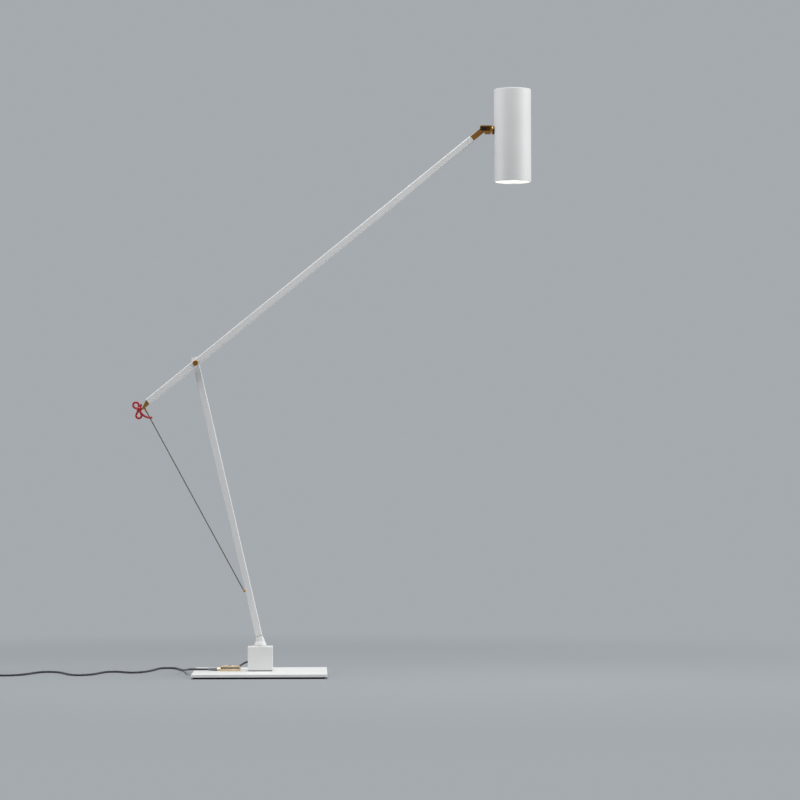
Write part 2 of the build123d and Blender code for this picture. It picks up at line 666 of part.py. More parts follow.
with BuildPart() as line_eyelet:
    with BuildSketch(EYELET_PLANE):
        Circle(EYELET_R)
    extrude(amount=EYELET_OUT)
    with BuildSketch(EYELET_PLANE):
        Circle(EYELET_R - EYELET_STEP)
    extrude(amount=-TUBE_WALL)
    with BuildSketch(Plane(origin=EYELET - LINE_DIR * 0.1, z_dir=LINE_DIR)):
        Circle(LINE_R + SEAT)
    extrude(amount=2 * EYELET_OUT, mode=Mode.SUBTRACT)
finish(line_eyelet.part, "line_eyelet")

with BuildPart() as balance_line:
    with BuildSketch(Plane(origin=EYELET, z_dir=LINE_DIR)):
        Circle(LINE_R)
    extrude(amount=(LINE_TOP - EYELET).length - EYE_R - 3.0)
finish(balance_line.part, "balance_line")

# ================================================================ head joint
knuckle_front = ARM_Y - KNUCKLE_DEPTH / 2
with BuildPart() as head_knuckle:
    with BuildSketch(side_plane(PIN, knuckle_front)):
        with Locations(((KNUCKLE_RIGHT - KNUCKLE_LEFT) / 2, 0)):
            Rectangle(KNUCKLE_RIGHT + KNUCKLE_LEFT, KNUCKLE_HEIGHT)
    extrude(amount=-KNUCKLE_DEPTH)
    fillet(head_knuckle.faces().sort_by(Axis.X)[0].edges(), 0.8)
    with BuildSketch(side_plane(PIN, knuckle_front + CHANNEL_DEPTH)):
        with Locations(((LUG_LEFT + LUG_RIGHT) / 2, -(KNUCKLE_HEIGHT + LUG_DROP) / 2)):
            Rectangle(LUG_RIGHT - LUG_LEFT, LUG_DROP)
    extrude(amount=-(KNUCKLE_DEPTH - 2 * CHANNEL_DEPTH))
    with BuildSketch(FLANGE_PLANE):
        Circle(FLANGE_R)
    extrude(amount=-FLANGE_THICK)
    with BuildSketch(side_plane(PIN, knuckle_front)):
        with Locations(((KNUCKLE_RIGHT - KNUCKLE_LEFT) / 2, 0)):
            Rectangle(KNUCKLE_RIGHT + KNUCKLE_LEFT, CHANNEL_HEIGHT)
    extrude(amount=-CHANNEL_DEPTH, mode=Mode.SUBTRACT)
    with BuildSketch(side_plane(PIN, ARM_Y - TONGUE_THICK / 2 - SLIP)):
        with Locations(((SLOT_RIGHT - KNUCKLE_LEFT) / 2, 0)):
            Rectangle(SLOT_RIGHT + KNUCKLE_LEFT, KNUCKLE_HEIGHT)
        with Locations(((LUG_LEFT + LUG_RIGHT) / 2, -(KNUCKLE_HEIGHT + LUG_DROP) / 2)):
            Rectangle(LUG_RIGHT - LUG_LEFT, LUG_DROP)
    extrude(amount=-(TONGUE_THICK + 2 * SLIP), mode=Mode.SUBTRACT)
    with BuildSketch(side_plane(PIN, knuckle_front)):
        Circle(PIN_R + SEAT)
    extrude(amount=-KNUCKLE_DEPTH, mode=Mode.SUBTRACT)
    with BuildSketch(FLANGE_PLANE):
        Circle(STEM_R + SEAT)
    extrude(amount=-STEM_SEAT, mode=Mode.SUBTRACT)
finish(head_knuckle.part, "head_knuckle")

with BuildPart() as hinge_screw:
    with BuildSketch(side_plane(PIN, knuckle_front + CHANNEL_DEPTH)):
        Circle(HINGE_HEAD_R)
    extrude(amount=HINGE_HEAD_THICK)
    fillet(hinge_screw.faces().sort_by(Axis.Y)[0].edges(), 0.3)
    with BuildSketch(side_plane(PIN, knuckle_front + CHANNEL_DEPTH)):
        Circle(PIN_R)
    extrude(amount=-(KNUCKLE_DEPTH - CHANNEL_DEPTH + HINGE_NUT_THICK))
    with BuildSketch(side_plane(PIN, knuckle_front + CHANNEL_DEPTH - HINGE_HEAD_THICK)):
        RegularPolygon(PIN_R * 0.6, 6)
    extrude(amount=-HINGE_HEAD_THICK * 0.7, mode=Mode.SUBTRACT)
finish(hinge_screw.part, "hinge_screw")

with BuildPart() as hinge_nut:
    with BuildSketch(side_plane(PIN, ARM_Y + KNUCKLE_DEPTH / 2)):
        RegularPolygon(HINGE_NUT_FLATS / 2, 6, major_radius=False)
        Circle(PIN_R + SEAT, mode=Mode.SUBTRACT)
    extrude(amount=-HINGE_NUT_THICK)
finish(hinge_nut.part, "hinge_nut")

stem_end = SHADE_INSIDE + BACKING_THICK + STEM_NUT_THICK + 1.0
with BuildPart() as stem_bolt:
    with BuildSketch(FLANGE_PLANE.offset(-STEM_SEAT)):
        Circle(STEM_R)
        Circle(WIRE_HOLE_R, mode=Mode.SUBTRACT)
    extrude(amount=STEM_SEAT + stem_end - FLANGE_FACE)
finish(stem_bolt.part, "stem_bolt")

with BuildPart() as stem_washer:
    with BuildSketch(FLANGE_PLANE):
        Circle(FLANGE_R)
        Circle(STEM_R + SLIP, mode=Mode.SUBTRACT)
    extrude(amount=SADDLE_THICK + 1.0)
    with BuildSketch(Plane.XY.offset(STEM_Z - FLANGE_R)):
        with Locations((HEAD_X, ARM_Y)):
            Circle(SHADE_R + SEAT)
    extrude(amount=2 * FLANGE_R, mode=Mode.SUBTRACT)
finish(stem_washer.part, "stem_washer")

with BuildPart() as stem_backing:
    with BuildSketch(FLANGE_PLANE.offset(SHADE_INSIDE - FLANGE_FACE)):
        Circle(BACKING_R)
    extrude(amount=BACKING_THICK)
    with BuildSketch(Plane.XY.offset(STEM_Z - BACKING_R)):
        with Locations((HEAD_X, ARM_Y)):
            Circle(SHADE_BORE_R - SEAT)
    extrude(amount=2 * BACKING_R, mode=Mode.INTERSECT)
    with BuildSketch(FLANGE_PLANE):
        Circle(STEM_R + SLIP)
    extrude(amount=SHADE_R, mode=Mode.SUBTRACT)
finish(stem_backing.part, "stem_backing")

with BuildPart() as stem_nut:
    with BuildSketch(FLANGE_PLANE.offset(SHADE_INSIDE + BACKING_THICK - FLANGE_FACE)):
        RegularPolygon(STEM_NUT_FLATS / 2, 6, major_radius=False)
        Circle(STEM_R + SEAT, mode=Mode.SUBTRACT)
    extrude(amount=STEM_NUT_THICK)
finish(stem_nut.part, "stem_nut")

# ================================================================ head
with BuildPart() as head_shade:
    with BuildSketch(Plane.XY.offset(RIM_Z)):
        with Locations((HEAD_X, ARM_Y)):
            Circle(SHADE_R)
            Circle(SHADE_BORE_R, mode=Mode.SUBTRACT)
    extrude(amount=HEAD_LENGTH - TOP_CAP_THICK)
    fillet(head_shade.faces().sort_by(Axis.Z)[0].edges(), 0.4)
    with BuildSketch(FLANGE_PLANE):
        Circle(STEM_R + SLIP)
    extrude(amount=SHADE_R, mode=Mode.SUBTRACT)
finish(head_shade.part, "head_shade")

cap_under = HEAD_TOP - TOP_CAP_THICK
with BuildPart() as head_top_cap:
    with BuildSketch(Plane.XY.offset(cap_under)):
        with Locations((HEAD_X, ARM_Y)):
            Circle(SHADE_R)
    extrude(amount=TOP_CAP_THICK)
    fillet(head_top_cap.faces().sort_by(Axis.Z)[-1].edges(), 0.6)
    with BuildSketch(Plane.XY.offset(cap_under)):
        with Locations((HEAD_X, ARM_Y)):
            Circle(SHADE_BORE_R - SEAT)
            Circle(SHADE_BORE_R - SHADE_WALL, mode=Mode.SUBTRACT)
    extrude(amount=-TOP_CAP_SPIGOT)
finish(head_top_cap.part, "head_top_cap")

holder_top = LAMP_BACK + HOLDER_HEIGHT
with BuildPart() as holder_post:
    with BuildSketch(Plane.XY.offset(holder_top)):
        with Locations((HEAD_X, ARM_Y)):
            Circle(POST_R)
            Circle(WIRE_HOLE_R, mode=Mode.SUBTRACT)
    extrude(amount=cap_under - holder_top)
finish(holder_post.part, "holder_post")

with BuildPart() as lamp_holder:
    with BuildSketch(Plane.XY.offset(LAMP_BACK)):
        with Locations((HEAD_X, ARM_Y)):
            Circle(HOLDER_R)
    extrude(amount=HOLDER_HEIGHT)
    fillet(lamp_holder.faces().sort_by(Axis.Z)[-1].edges(), 1.0)
    with BuildSketch(Plane.XY.offset(LAMP_BACK)):
        with Locations((HEAD_X - LAMP_PIN_PITCH / 2, ARM_Y), (HEAD_X + LAMP_PIN_PITCH / 2, ARM_Y)):
            Circle(LAMP_PIN_R + SEAT)
    extrude(amount=LAMP_PIN_LENGTH + 1.0, mode=Mode.SUBTRACT)
finish(lamp_holder.part, "lamp_holder")

with BuildPart() as reflector_lamp:
    with BuildSketch(Plane(origin=(HEAD_X, ARM_Y, LAMP_FRONT), x_dir=(1, 0, 0), z_dir=(0, -1, 0))):
        with BuildLine():
            Polyline((LAMP_WELL_R, LAMP_WELL_Z), (0, LAMP_WELL_Z), (0, LAMP_LENGTH),
                     (LAMP_BASE_R, LAMP_LENGTH), (LAMP_BASE_R, LAMP_NECK_Z))
            ThreePointArc((LAMP_BASE_R, LAMP_NECK_Z), (LAMP_BELLY_R, LAMP_BELLY_Z), (LAMP_R, LAMP_RIM_Z))
            Polyline((LAMP_R, LAMP_RIM_Z), (LAMP_R, 0), (LAMP_R - LAMP_GLASS, 0),
                     (LAMP_R - LAMP_GLASS, LAMP_RIM_Z))
            ThreePointArc((LAMP_R - LAMP_GLASS, LAMP_RIM_Z),
                          (LAMP_BELLY_R - LAMP_GLASS, LAMP_BELLY_Z), (LAMP_WELL_R, LAMP_WELL_Z))
        make_face()
    revolve(axis=Axis((HEAD_X, ARM_Y, 0), (0, 0, 1)))
    with BuildSketch(Plane.XY.offset(LAMP_BACK)):
        with Locations((HEAD_X - LAMP_PIN_PITCH / 2, ARM_Y), (HEAD_X + LAMP_PIN_PITCH / 2, ARM_Y)):
            Circle(LAMP_PIN_R)
    extrude(amount=LAMP_PIN_LENGTH)
finish(reflector_lamp.part, "reflector_lamp")

with BuildPart() as lamp_lens:
    with BuildSketch(Plane.XY.offset(LAMP_FRONT)):
        with Locations((HEAD_X, ARM_Y)):
            Circle(LAMP_R - LAMP_GLASS - SEAT)
    extrude(amount=LENS_THICK)
finish(lamp_lens.part, "lamp_lens")

with BuildPart() as lamp_ring:
    with BuildSketch(Plane.XY.offset(LAMP_FRONT)):
        with Locations((HEAD_X, ARM_Y)):
            Circle(SHADE_BORE_R - SEAT)
            Circle(SHADE_BORE_R - RING_WIDTH, mode=Mode.SUBTRACT)
    extrude(amount=-RING_THICK)
finish(lamp_ring.part, "lamp_ring")

# ================================================================ dimmer
dimmer_front = DIMMER_Y - DIMMER_DEPTH / 2
dimmer_right = DIMMER_LEFT + DIMMER_LENGTH
dimmer_top = PLATE_TOP + DIMMER_HEIGHT
slot_top = dimmer_top - DIMMER_TOP_WALL
slot_right = dimmer_right - DIMMER_END_WALL
with BuildPart() as dimmer_frame:
    with BuildSketch(Plane(origin=(0, dimmer_front, 0), x_dir=(1, 0, 0), z_dir=(0, -1, 0))):
        with Locations(((DIMMER_LEFT + dimmer_right) / 2, (PLATE_TOP + dimmer_top) / 2)):
            Rectangle(DIMMER_LENGTH, DIMMER_HEIGHT)
    extrude(amount=-DIMMER_DEPTH)
    fillet(dimmer_frame.faces().sort_by(Axis.X)[-1].edges().filter_by(Axis.Y), DIMMER_END_R)
    with BuildSketch(Plane(origin=(0, dimmer_front, 0), x_dir=(1, 0, 0), z_dir=(0, -1, 0))):
        with Locations(((DIMMER_LEFT + slot_right) / 2, slot_top - DIMMER_SLOT / 2)):
            Rectangle(slot_right - DIMMER_LEFT, DIMMER_SLOT)
    extrude(amount=-DIMMER_DEPTH, mode=Mode.SUBTRACT)
    with BuildSketch(Plane.XY.offset(slot_top)):
        with Locations((KNOB_X, DIMMER_Y)):
            Rectangle(KNOB_LENGTH + 2 * KNOB_TRAVEL + 2 * AIR, KNOB_WIDTH + 2 * SLIP)
    extrude(amount=DIMMER_TOP_WALL, mode=Mode.SUBTRACT)
finish(dimmer_frame.part, "dimmer_frame")

with BuildPart() as dimmer_core:
    with BuildSketch(Plane.XY.offset(slot_top)):
        with Locations(((DIMMER_LEFT + CORE_BACK + slot_right) / 2, DIMMER_Y)):
            Rectangle(slot_right - DIMMER_LEFT - CORE_BACK, DIMMER_DEPTH - 2 * CORE_BACK)
    extrude(amount=-DIMMER_SLOT)
finish(dimmer_core.part, "dimmer_core")

with BuildPart() as dimmer_knob:
    with BuildSketch(Plane.XY.offset(slot_top)):
        with Locations((KNOB_X, DIMMER_Y)):
            Rectangle(KNOB_LENGTH, KNOB_WIDTH)
    extrude(amount=DIMMER_TOP_WALL + KNOB_RISE)
    fillet(dimmer_knob.faces().sort_by(Axis.Z)[-1].edges(), 0.3)
finish(dimmer_knob.part, "dimmer_knob")

collar_plane = Plane(origin=(DIMMER_LEFT, DIMMER_Y, CORD_EXIT_Z), x_dir=(0, -1, 0), z_dir=(-1, 0, 0))
with BuildPart() as dimmer_collar:
    with BuildSketch(collar_plane):
        Circle(COLLAR_R)
        Circle(CORD_R + SEAT, mode=Mode.SUBTRACT)
    extrude(amount=COLLAR_LENGTH)
    fillet(dimmer_collar.faces().sort_by(Axis.X)[0].edges().sort_by(SortBy.RADIUS)[-1], 0.4)
finish(dimmer_collar.part, "dimmer_collar")

with BuildPart() as strain_relief:
    with BuildSketch(collar_plane.offset(COLLAR_LENGTH)):
        Circle(COLLAR_R - 0.2)
    with BuildSketch(collar_plane.offset(COLLAR_LENGTH + RELIEF_LENGTH)):
        Circle(RELIEF_END_R)
    loft()
    with BuildSketch(collar_plane.offset(COLLAR_LENGTH)):
        Circle(CORD_R + SEAT)
    extrude(amount=RELIEF_LENGTH, mode=Mode.SUBTRACT)
finish(strain_relief.part, "strain_relief")

# ================================================================ mains cord, coil and plug
jumper_route = [
    (JUMPER_X, DIMMER_Y + DIMMER_DEPTH / 2, JUMPER_Z),
    (JUMPER_X, 20.0, JUMPER_Z),
    (-31.0, 31.0, 13.5),
    (-22.0, 37.5, 18.5),
    (-11.5, 36.5, 20.5),
    (GLAND_X, 28.5, gland_z),
    (GLAND_X, POCKET_R, gland_z),
]
power_route = [
    (DIMMER_LEFT, DIMMER_Y, CORD_EXIT_Z),
    (-78.0, DIMMER_Y, CORD_EXIT_Z),
    (-94.0, DIMMER_Y - 0.4, CORD_EXIT_Z),
    (-106.0, 8.0, 9.3),
    (-111.0, 34.0, 7.2),
    (-114.0, 74.0, 4.4),
    (-121.0, 120.0, 1.9),
    (-130.0, 164.0, CORD_REST),
    (-135.0, 186.0, CORD_REST),
    (-146.0, 194.0, CORD_REST),
    (-158.0, 188.0, CORD_REST),
    (-163.0, 165.0, CORD_REST),
    (-168.0, 125.0, CORD_REST),
    (-178.0, 82.0, CORD_REST),
    (-190.0, 63.0, CORD_REST),
    (-204.0, 66.0, CORD_REST),
    (-216.0, 90.0, CORD_REST),
    (-234.0, 91.0, CORD_REST),
    (-243.0, 62.0, CORD_REST),
    (-250.0, 24.0, CORD_REST),
    (-262.0, 0.0, CORD_REST),
    (-280.0, -2.0, CORD_REST),
    (-291.0, 28.0, CORD_REST),
    (-301.0, 64.0, CORD_REST),
    (-314.0, 90.0, CORD_REST),
    (-331.0, 94.0, CORD_REST),
    (-344.0, 66.0, CORD_REST),
    (-352.0, 30.0, CORD_REST),
    (-364.0, 4.0, CORD_REST),
    (-380.0, -5.0, CORD_REST),
    (-398.0, -5.5, 1.9),
    (-411.0, COIL_START_Y, COIL_Z),
    (COIL_CENTRE_X + 2 * CORD_R, COIL_START_Y, COIL_Z),
]


def coil_point(quarter):
    """Centre of the cord after a number of quarter turns, winding clockwise as seen from above."""
    layer = 0
    while layer < 3 and quarter > 4 * COIL_LAYER_TURNS + 2:
        quarter -= 4 * COIL_LAYER_TURNS + 2
        layer += 1
    spun = min(quarter, 4 * COIL_LAYER_TURNS) / (4 * COIL_LAYER_TURNS)
    climbed = max(quarter - 4 * COIL_LAYER_TURNS, 0) / 2
    inward = spun if layer % 2 == 0 else 1 - spun
    radius = COIL_OUTER_R - inward * COIL_LAYER_TURNS * COIL_STEP
    turned = -math.pi / 2 * (1 + quarter + layer * (4 * COIL_LAYER_TURNS + 2))
    return Vector(COIL_CENTRE_X + radius * math.cos(turned), COIL_CENTRE_Y + radius * math.sin(turned),
                  COIL_Z + (layer + climbed) * COIL_STEP)


def coil_tangent(quarter):
    """Direction of the cord in the coil after a number of quarter turns."""
    ahead = coil_point(quarter + COIL_LOOK) - coil_point(max(quarter - COIL_LOOK, 0))
    return ahead.normalized()


coil_quarters = round(4 * (3 * (COIL_LAYER_TURNS + 0.5) + COIL_LAST_TURNS))
with BuildLine() as coil_line:
    here = coil_point(0)
    heading = Vector(-1, 0, 0)
    Line(here - heading * 2 * CORD_R, here)
    for quarter in range(1, coil_quarters + 1):
        there = coil_point(quarter)
        onward = Vector(0, 1, 0) if quarter == coil_quarters else coil_tangent(quarter)
        across, both = there - here, heading + onward
        reach = (-across.dot(both) + math.sqrt(
            across.dot(both) ** 2 + 2 * (1 - heading.dot(onward)) * across.dot(across))) / (
            2 * (1 - heading.dot(onward)))
        middle = (here + there + (heading - onward) * reach) * 0.5
        knee = ((there - onward * reach) - (here + heading * reach)).normalized()
        TangentArc(here, middle, tangent=heading)
        TangentArc(middle, there, tangent=knee)
        here, heading = there, onward
    Line(here, here + heading * 2 * CORD_R)
coil_end = coil_line.line @ 1

tail_route = [
    (coil_end.X, coil_end.Y, coil_end.Z),
    (coil_end.X, coil_end.Y + 11.0, coil_end.Z),
    (coil_end.X + 4.0, coil_end.Y + 24.0, 11.4),
    (coil_end.X + 11.0, coil_end.Y + 36.0, 7.8),
    (PLUG_X, coil_end.Y + 49.0, PLUG_HEIGHT / 2),
    (PLUG_X, PLUG_START_Y + PLUG_CORD_IN, PLUG_HEIGHT / 2),
]

with BuildPart() as jumper_cord:
    with BuildLine() as jumper_line:
        FilletPolyline(*jumper_route, radius=bend_radii(jumper_route))
    with BuildSketch(Plane(origin=jumper_line.line @ 0, z_dir=jumper_line.line % 0)):
        Circle(CORD_R)
    sweep(path=jumper_line.wires()[0])
finish(jumper_cord.part, "jumper_cord")

with BuildPart() as power_cord:
    with BuildLine() as power_line:
        FilletPolyline(*power_route, radius=bend_radii(power_route))
    with BuildSketch(Plane(origin=power_line.line @ 0, z_dir=power_line.line % 0)):
        Circle(CORD_R)
    sweep(path=power_line.wires()[0])
finish(power_cord.part, "power_cord")

with BuildPart() as cord_coil:
    with BuildSketch(Plane(origin=coil_line.line @ 0, z_dir=coil_line.line % 0)):
        Circle(CORD_R)
    sweep(path=coil_line.wires()[0])
finish(cord_coil.part, "cord_coil")

with BuildPart() as cord_tail:
    with BuildLine() as tail_line:
        FilletPolyline(*tail_route, radius=bend_radii(tail_route))
    with BuildSketch(Plane(origin=tail_line.line @ 0, z_dir=tail_line.line % 0)):
        Circle(CORD_R)
    sweep(path=tail_line.wires()[0])
finish(cord_tail.part, "cord_tail")

for name, line in (("jumper", jumper_line), ("power", power_line), ("coil", coil_line), ("tail", tail_line)):
    volume = math.pi * CORD_R ** 2 * line.wires()[0].length
    print(name, "length", round(line.wires()[0].length, 1), "section times length", round(volume, 1))
for name, cord in (("jumper", jumper_cord), ("power", power_cord), ("coil", cord_coil), ("tail", cord_tail)):
    print(name, "volume", round(cord.part.volume, 1), "lowest", round(cord.part.bounding_box().min.Z, 2))
for name, route in (("jumper", jumper_route), ("power", power_route), ("tail", tail_route)):
    print(name, "radii", [round(r, 1) for r in bend_radii(route)])

spots = [coil_point(step / COIL_CHECKS) for step in range(coil_quarters * COIL_CHECKS + 1)]
least = min(
    (spots[j] - spots[i]).length
    for i in range(len(spots))
    for j in range(i + 2 * COIL_CHECKS, len(spots))
) - 2 * CORD_R
print("least gap of the coil to itself", round(least, 2))

tie_left, tie_right = COIL_OUTER_R - COIL_LAYER_TURNS * COIL_STEP - CORD_R - TIE_SLACK, COIL_OUTER_R + CORD_R + AIR
tie_low, tie_high = TIE_THICK, COIL_Z + 3 * COIL_STEP + CORD_R + AIR
with BuildPart() as coil_tie:
    with BuildSketch(Plane(origin=(COIL_CENTRE_X, COIL_CENTRE_Y - TIE_WIDTH / 2, 0),
                           x_dir=(1, 0, 0), z_dir=(0, -1, 0))):
        with Locations(((tie_left + tie_right) / 2, (tie_low + tie_high) / 2)):
            RectangleRounded(tie_right - tie_left + 2 * TIE_THICK, tie_high - tie_low + 2 * TIE_THICK,
                             CORD_R + TIE_THICK)
            RectangleRounded(tie_right - tie_left, tie_high - tie_low, CORD_R, mode=Mode.SUBTRACT)
    extrude(amount=-TIE_WIDTH)
finish(coil_tie.part, "coil_tie")

with BuildPart() as plug_body:
    with BuildSketch(Plane(origin=(PLUG_X, PLUG_START_Y, PLUG_HEIGHT / 2), x_dir=(-1, 0, 0), z_dir=(0, 1, 0))):
        RectangleRounded(PLUG_NECK_WIDTH, PLUG_HEIGHT * 0.8, 3.0)
    with BuildSketch(Plane(origin=(PLUG_X, PLUG_START_Y + PLUG_BODY_LENGTH, PLUG_HEIGHT / 2),
                           x_dir=(-1, 0, 0), z_dir=(0, 1, 0))):
        RectangleRounded(PLUG_WIDTH, PLUG_HEIGHT, 5.0)
    loft()
    with BuildSketch(Plane(origin=(PLUG_X, PLUG_START_Y, PLUG_HEIGHT / 2), x_dir=(-1, 0, 0), z_dir=(0, 1, 0))):
        Circle(CORD_R + SEAT)
    extrude(amount=PLUG_CORD_IN, mode=Mode.SUBTRACT)
    with BuildSketch(Plane(origin=(PLUG_X, PLUG_START_Y + PLUG_BODY_LENGTH, PLUG_HEIGHT / 2),
                           x_dir=(-1, 0, 0), z_dir=(0, 1, 0))):
        with Locations((-PLUG_PIN_PITCH / 2, 0), (PLUG_PIN_PITCH / 2, 0)):
            Circle(PLUG_PIN_R + SEAT)
    extrude(amount=-PLUG_PIN_ROOT, mode=Mode.SUBTRACT)
finish(plug_body.part, "plug_body")

with BuildPart() as plug_pins:
    with BuildSketch(Plane(origin=(PLUG_X, PLUG_START_Y + PLUG_BODY_LENGTH - PLUG_PIN_ROOT, PLUG_HEIGHT / 2),
                           x_dir=(-1, 0, 0), z_dir=(0, 1, 0))):
        with Locations((-PLUG_PIN_PITCH / 2, 0), (PLUG_PIN_PITCH / 2, 0)):
            Circle(PLUG_PIN_R)
    extrude(amount=PLUG_PIN_ROOT + PLUG_PIN_LENGTH)
    fillet(plug_pins.faces().sort_by(Axis.Y)[-2:].edges(), 1.2)
finish(plug_pins.part, "plug_pins")
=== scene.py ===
"""Balance desk lamp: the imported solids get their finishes, cords, line and small trim."""

from __future__ import annotations

import json
import logging
import math
from dataclasses import dataclass
from enum import Enum
from functools import cached_property

import bmesh
import bpy
from mathutils import Matrix, Vector

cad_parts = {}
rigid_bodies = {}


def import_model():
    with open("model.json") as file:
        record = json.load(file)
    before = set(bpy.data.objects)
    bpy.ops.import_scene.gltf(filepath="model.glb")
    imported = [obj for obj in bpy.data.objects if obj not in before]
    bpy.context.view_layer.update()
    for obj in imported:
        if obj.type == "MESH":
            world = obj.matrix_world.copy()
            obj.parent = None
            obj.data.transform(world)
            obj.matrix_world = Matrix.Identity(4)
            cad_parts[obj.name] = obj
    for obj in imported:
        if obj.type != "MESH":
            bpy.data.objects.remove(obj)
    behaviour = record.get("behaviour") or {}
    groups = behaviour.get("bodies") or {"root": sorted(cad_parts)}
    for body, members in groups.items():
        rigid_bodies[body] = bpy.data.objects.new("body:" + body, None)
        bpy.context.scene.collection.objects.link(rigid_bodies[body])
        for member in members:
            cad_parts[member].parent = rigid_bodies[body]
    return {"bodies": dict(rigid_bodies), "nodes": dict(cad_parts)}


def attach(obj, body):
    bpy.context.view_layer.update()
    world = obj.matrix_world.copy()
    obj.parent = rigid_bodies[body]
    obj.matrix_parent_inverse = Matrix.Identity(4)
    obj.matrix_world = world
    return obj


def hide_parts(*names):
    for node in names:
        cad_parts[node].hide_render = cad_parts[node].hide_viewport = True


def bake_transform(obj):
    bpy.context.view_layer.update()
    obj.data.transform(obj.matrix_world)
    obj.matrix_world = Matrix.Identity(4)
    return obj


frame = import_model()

LOG = logging.getLogger("lamp")
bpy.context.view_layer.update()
Point = tuple[float, float, float]
Colour = tuple[float, float, float]
Pair = tuple[float, float]
Material, Piece, Socket = bpy.types.Material, bpy.types.Object, bpy.types.NodeSocket
ORIGIN = (0.0, 0.0, 0.0)
EVEN = (1.0, 1.0, 1.0)
DEEP = Vector((0, 1, 0))
TURN = 2 * math.pi
QUARTER = math.pi / 2
MERGE = 2e-6               # metres between two corners that are one
FLAT = math.radians(0.4)   # faces that turn by less lie in one plane
BEVEL_STEPS = 2            # facets across a softened edge
BY_AREA = 100              # how far a face's area counts in the normals
CORD_STEPS = 8             # pieces of a cord from one control point to the next
CORD_FACETS = 4            # how finely a cord is rounded


class Body(Enum):
    """The moving bodies of the lamp."""

    BASE = "base"
    MAST = "mast"
    ARM = "arm"
    KNUCKLE = "knuckle"
    HEAD = "head"
    SLIDER = "dimmer_slider"


# ---- node trees
class Nodes:
    """A short way to write a node tree."""

    def __init__(self, tree: bpy.types.NodeTree) -> None:
        """Take up the node tree to write in."""
        self.tree, self.nodes, self.links = tree, tree.nodes, tree.links

    def add(self, kind: str, inputs: dict[str | int, object] | None = None, **settings: object) -> bpy.types.Node:
        """Add a node, set its settings, and fill or link its inputs.

        Args:
            kind: Blender's name of the node.
            inputs: Values or sockets by input name or number.
            **settings: Attributes of the node.

        Returns:
            The new node.
        """
        node = self.nodes.new(kind)
        for key, value in settings.items():
            setattr(node, key, value)
        for key, value in (inputs or {}).items():
            if isinstance(value, Socket):
                self.links.new(value, node.inputs[key])
            else:
                node.inputs[key].default_value = value
        return node

    def maths(self, operation: str, first: object, second: object = 0.0) -> Socket:
        """One sum on two numbers."""
        return self.add("ShaderNodeMath", {0: first, 1: second}, operation=operation).outputs[0]

    def vectors(self, operation: str, first: object, second: object = ORIGIN) -> Socket:
        """One sum on two vectors."""
        return self.add("ShaderNodeVectorMath", {0: first, 1: second}, operation=operation).outputs[0]


# ---- finishes
def shade(colour: Colour, by: float) -> Colour:
    """A colour made lighter or darker by a factor."""
    return tuple(min(1.0, channel * by) for channel in colour)


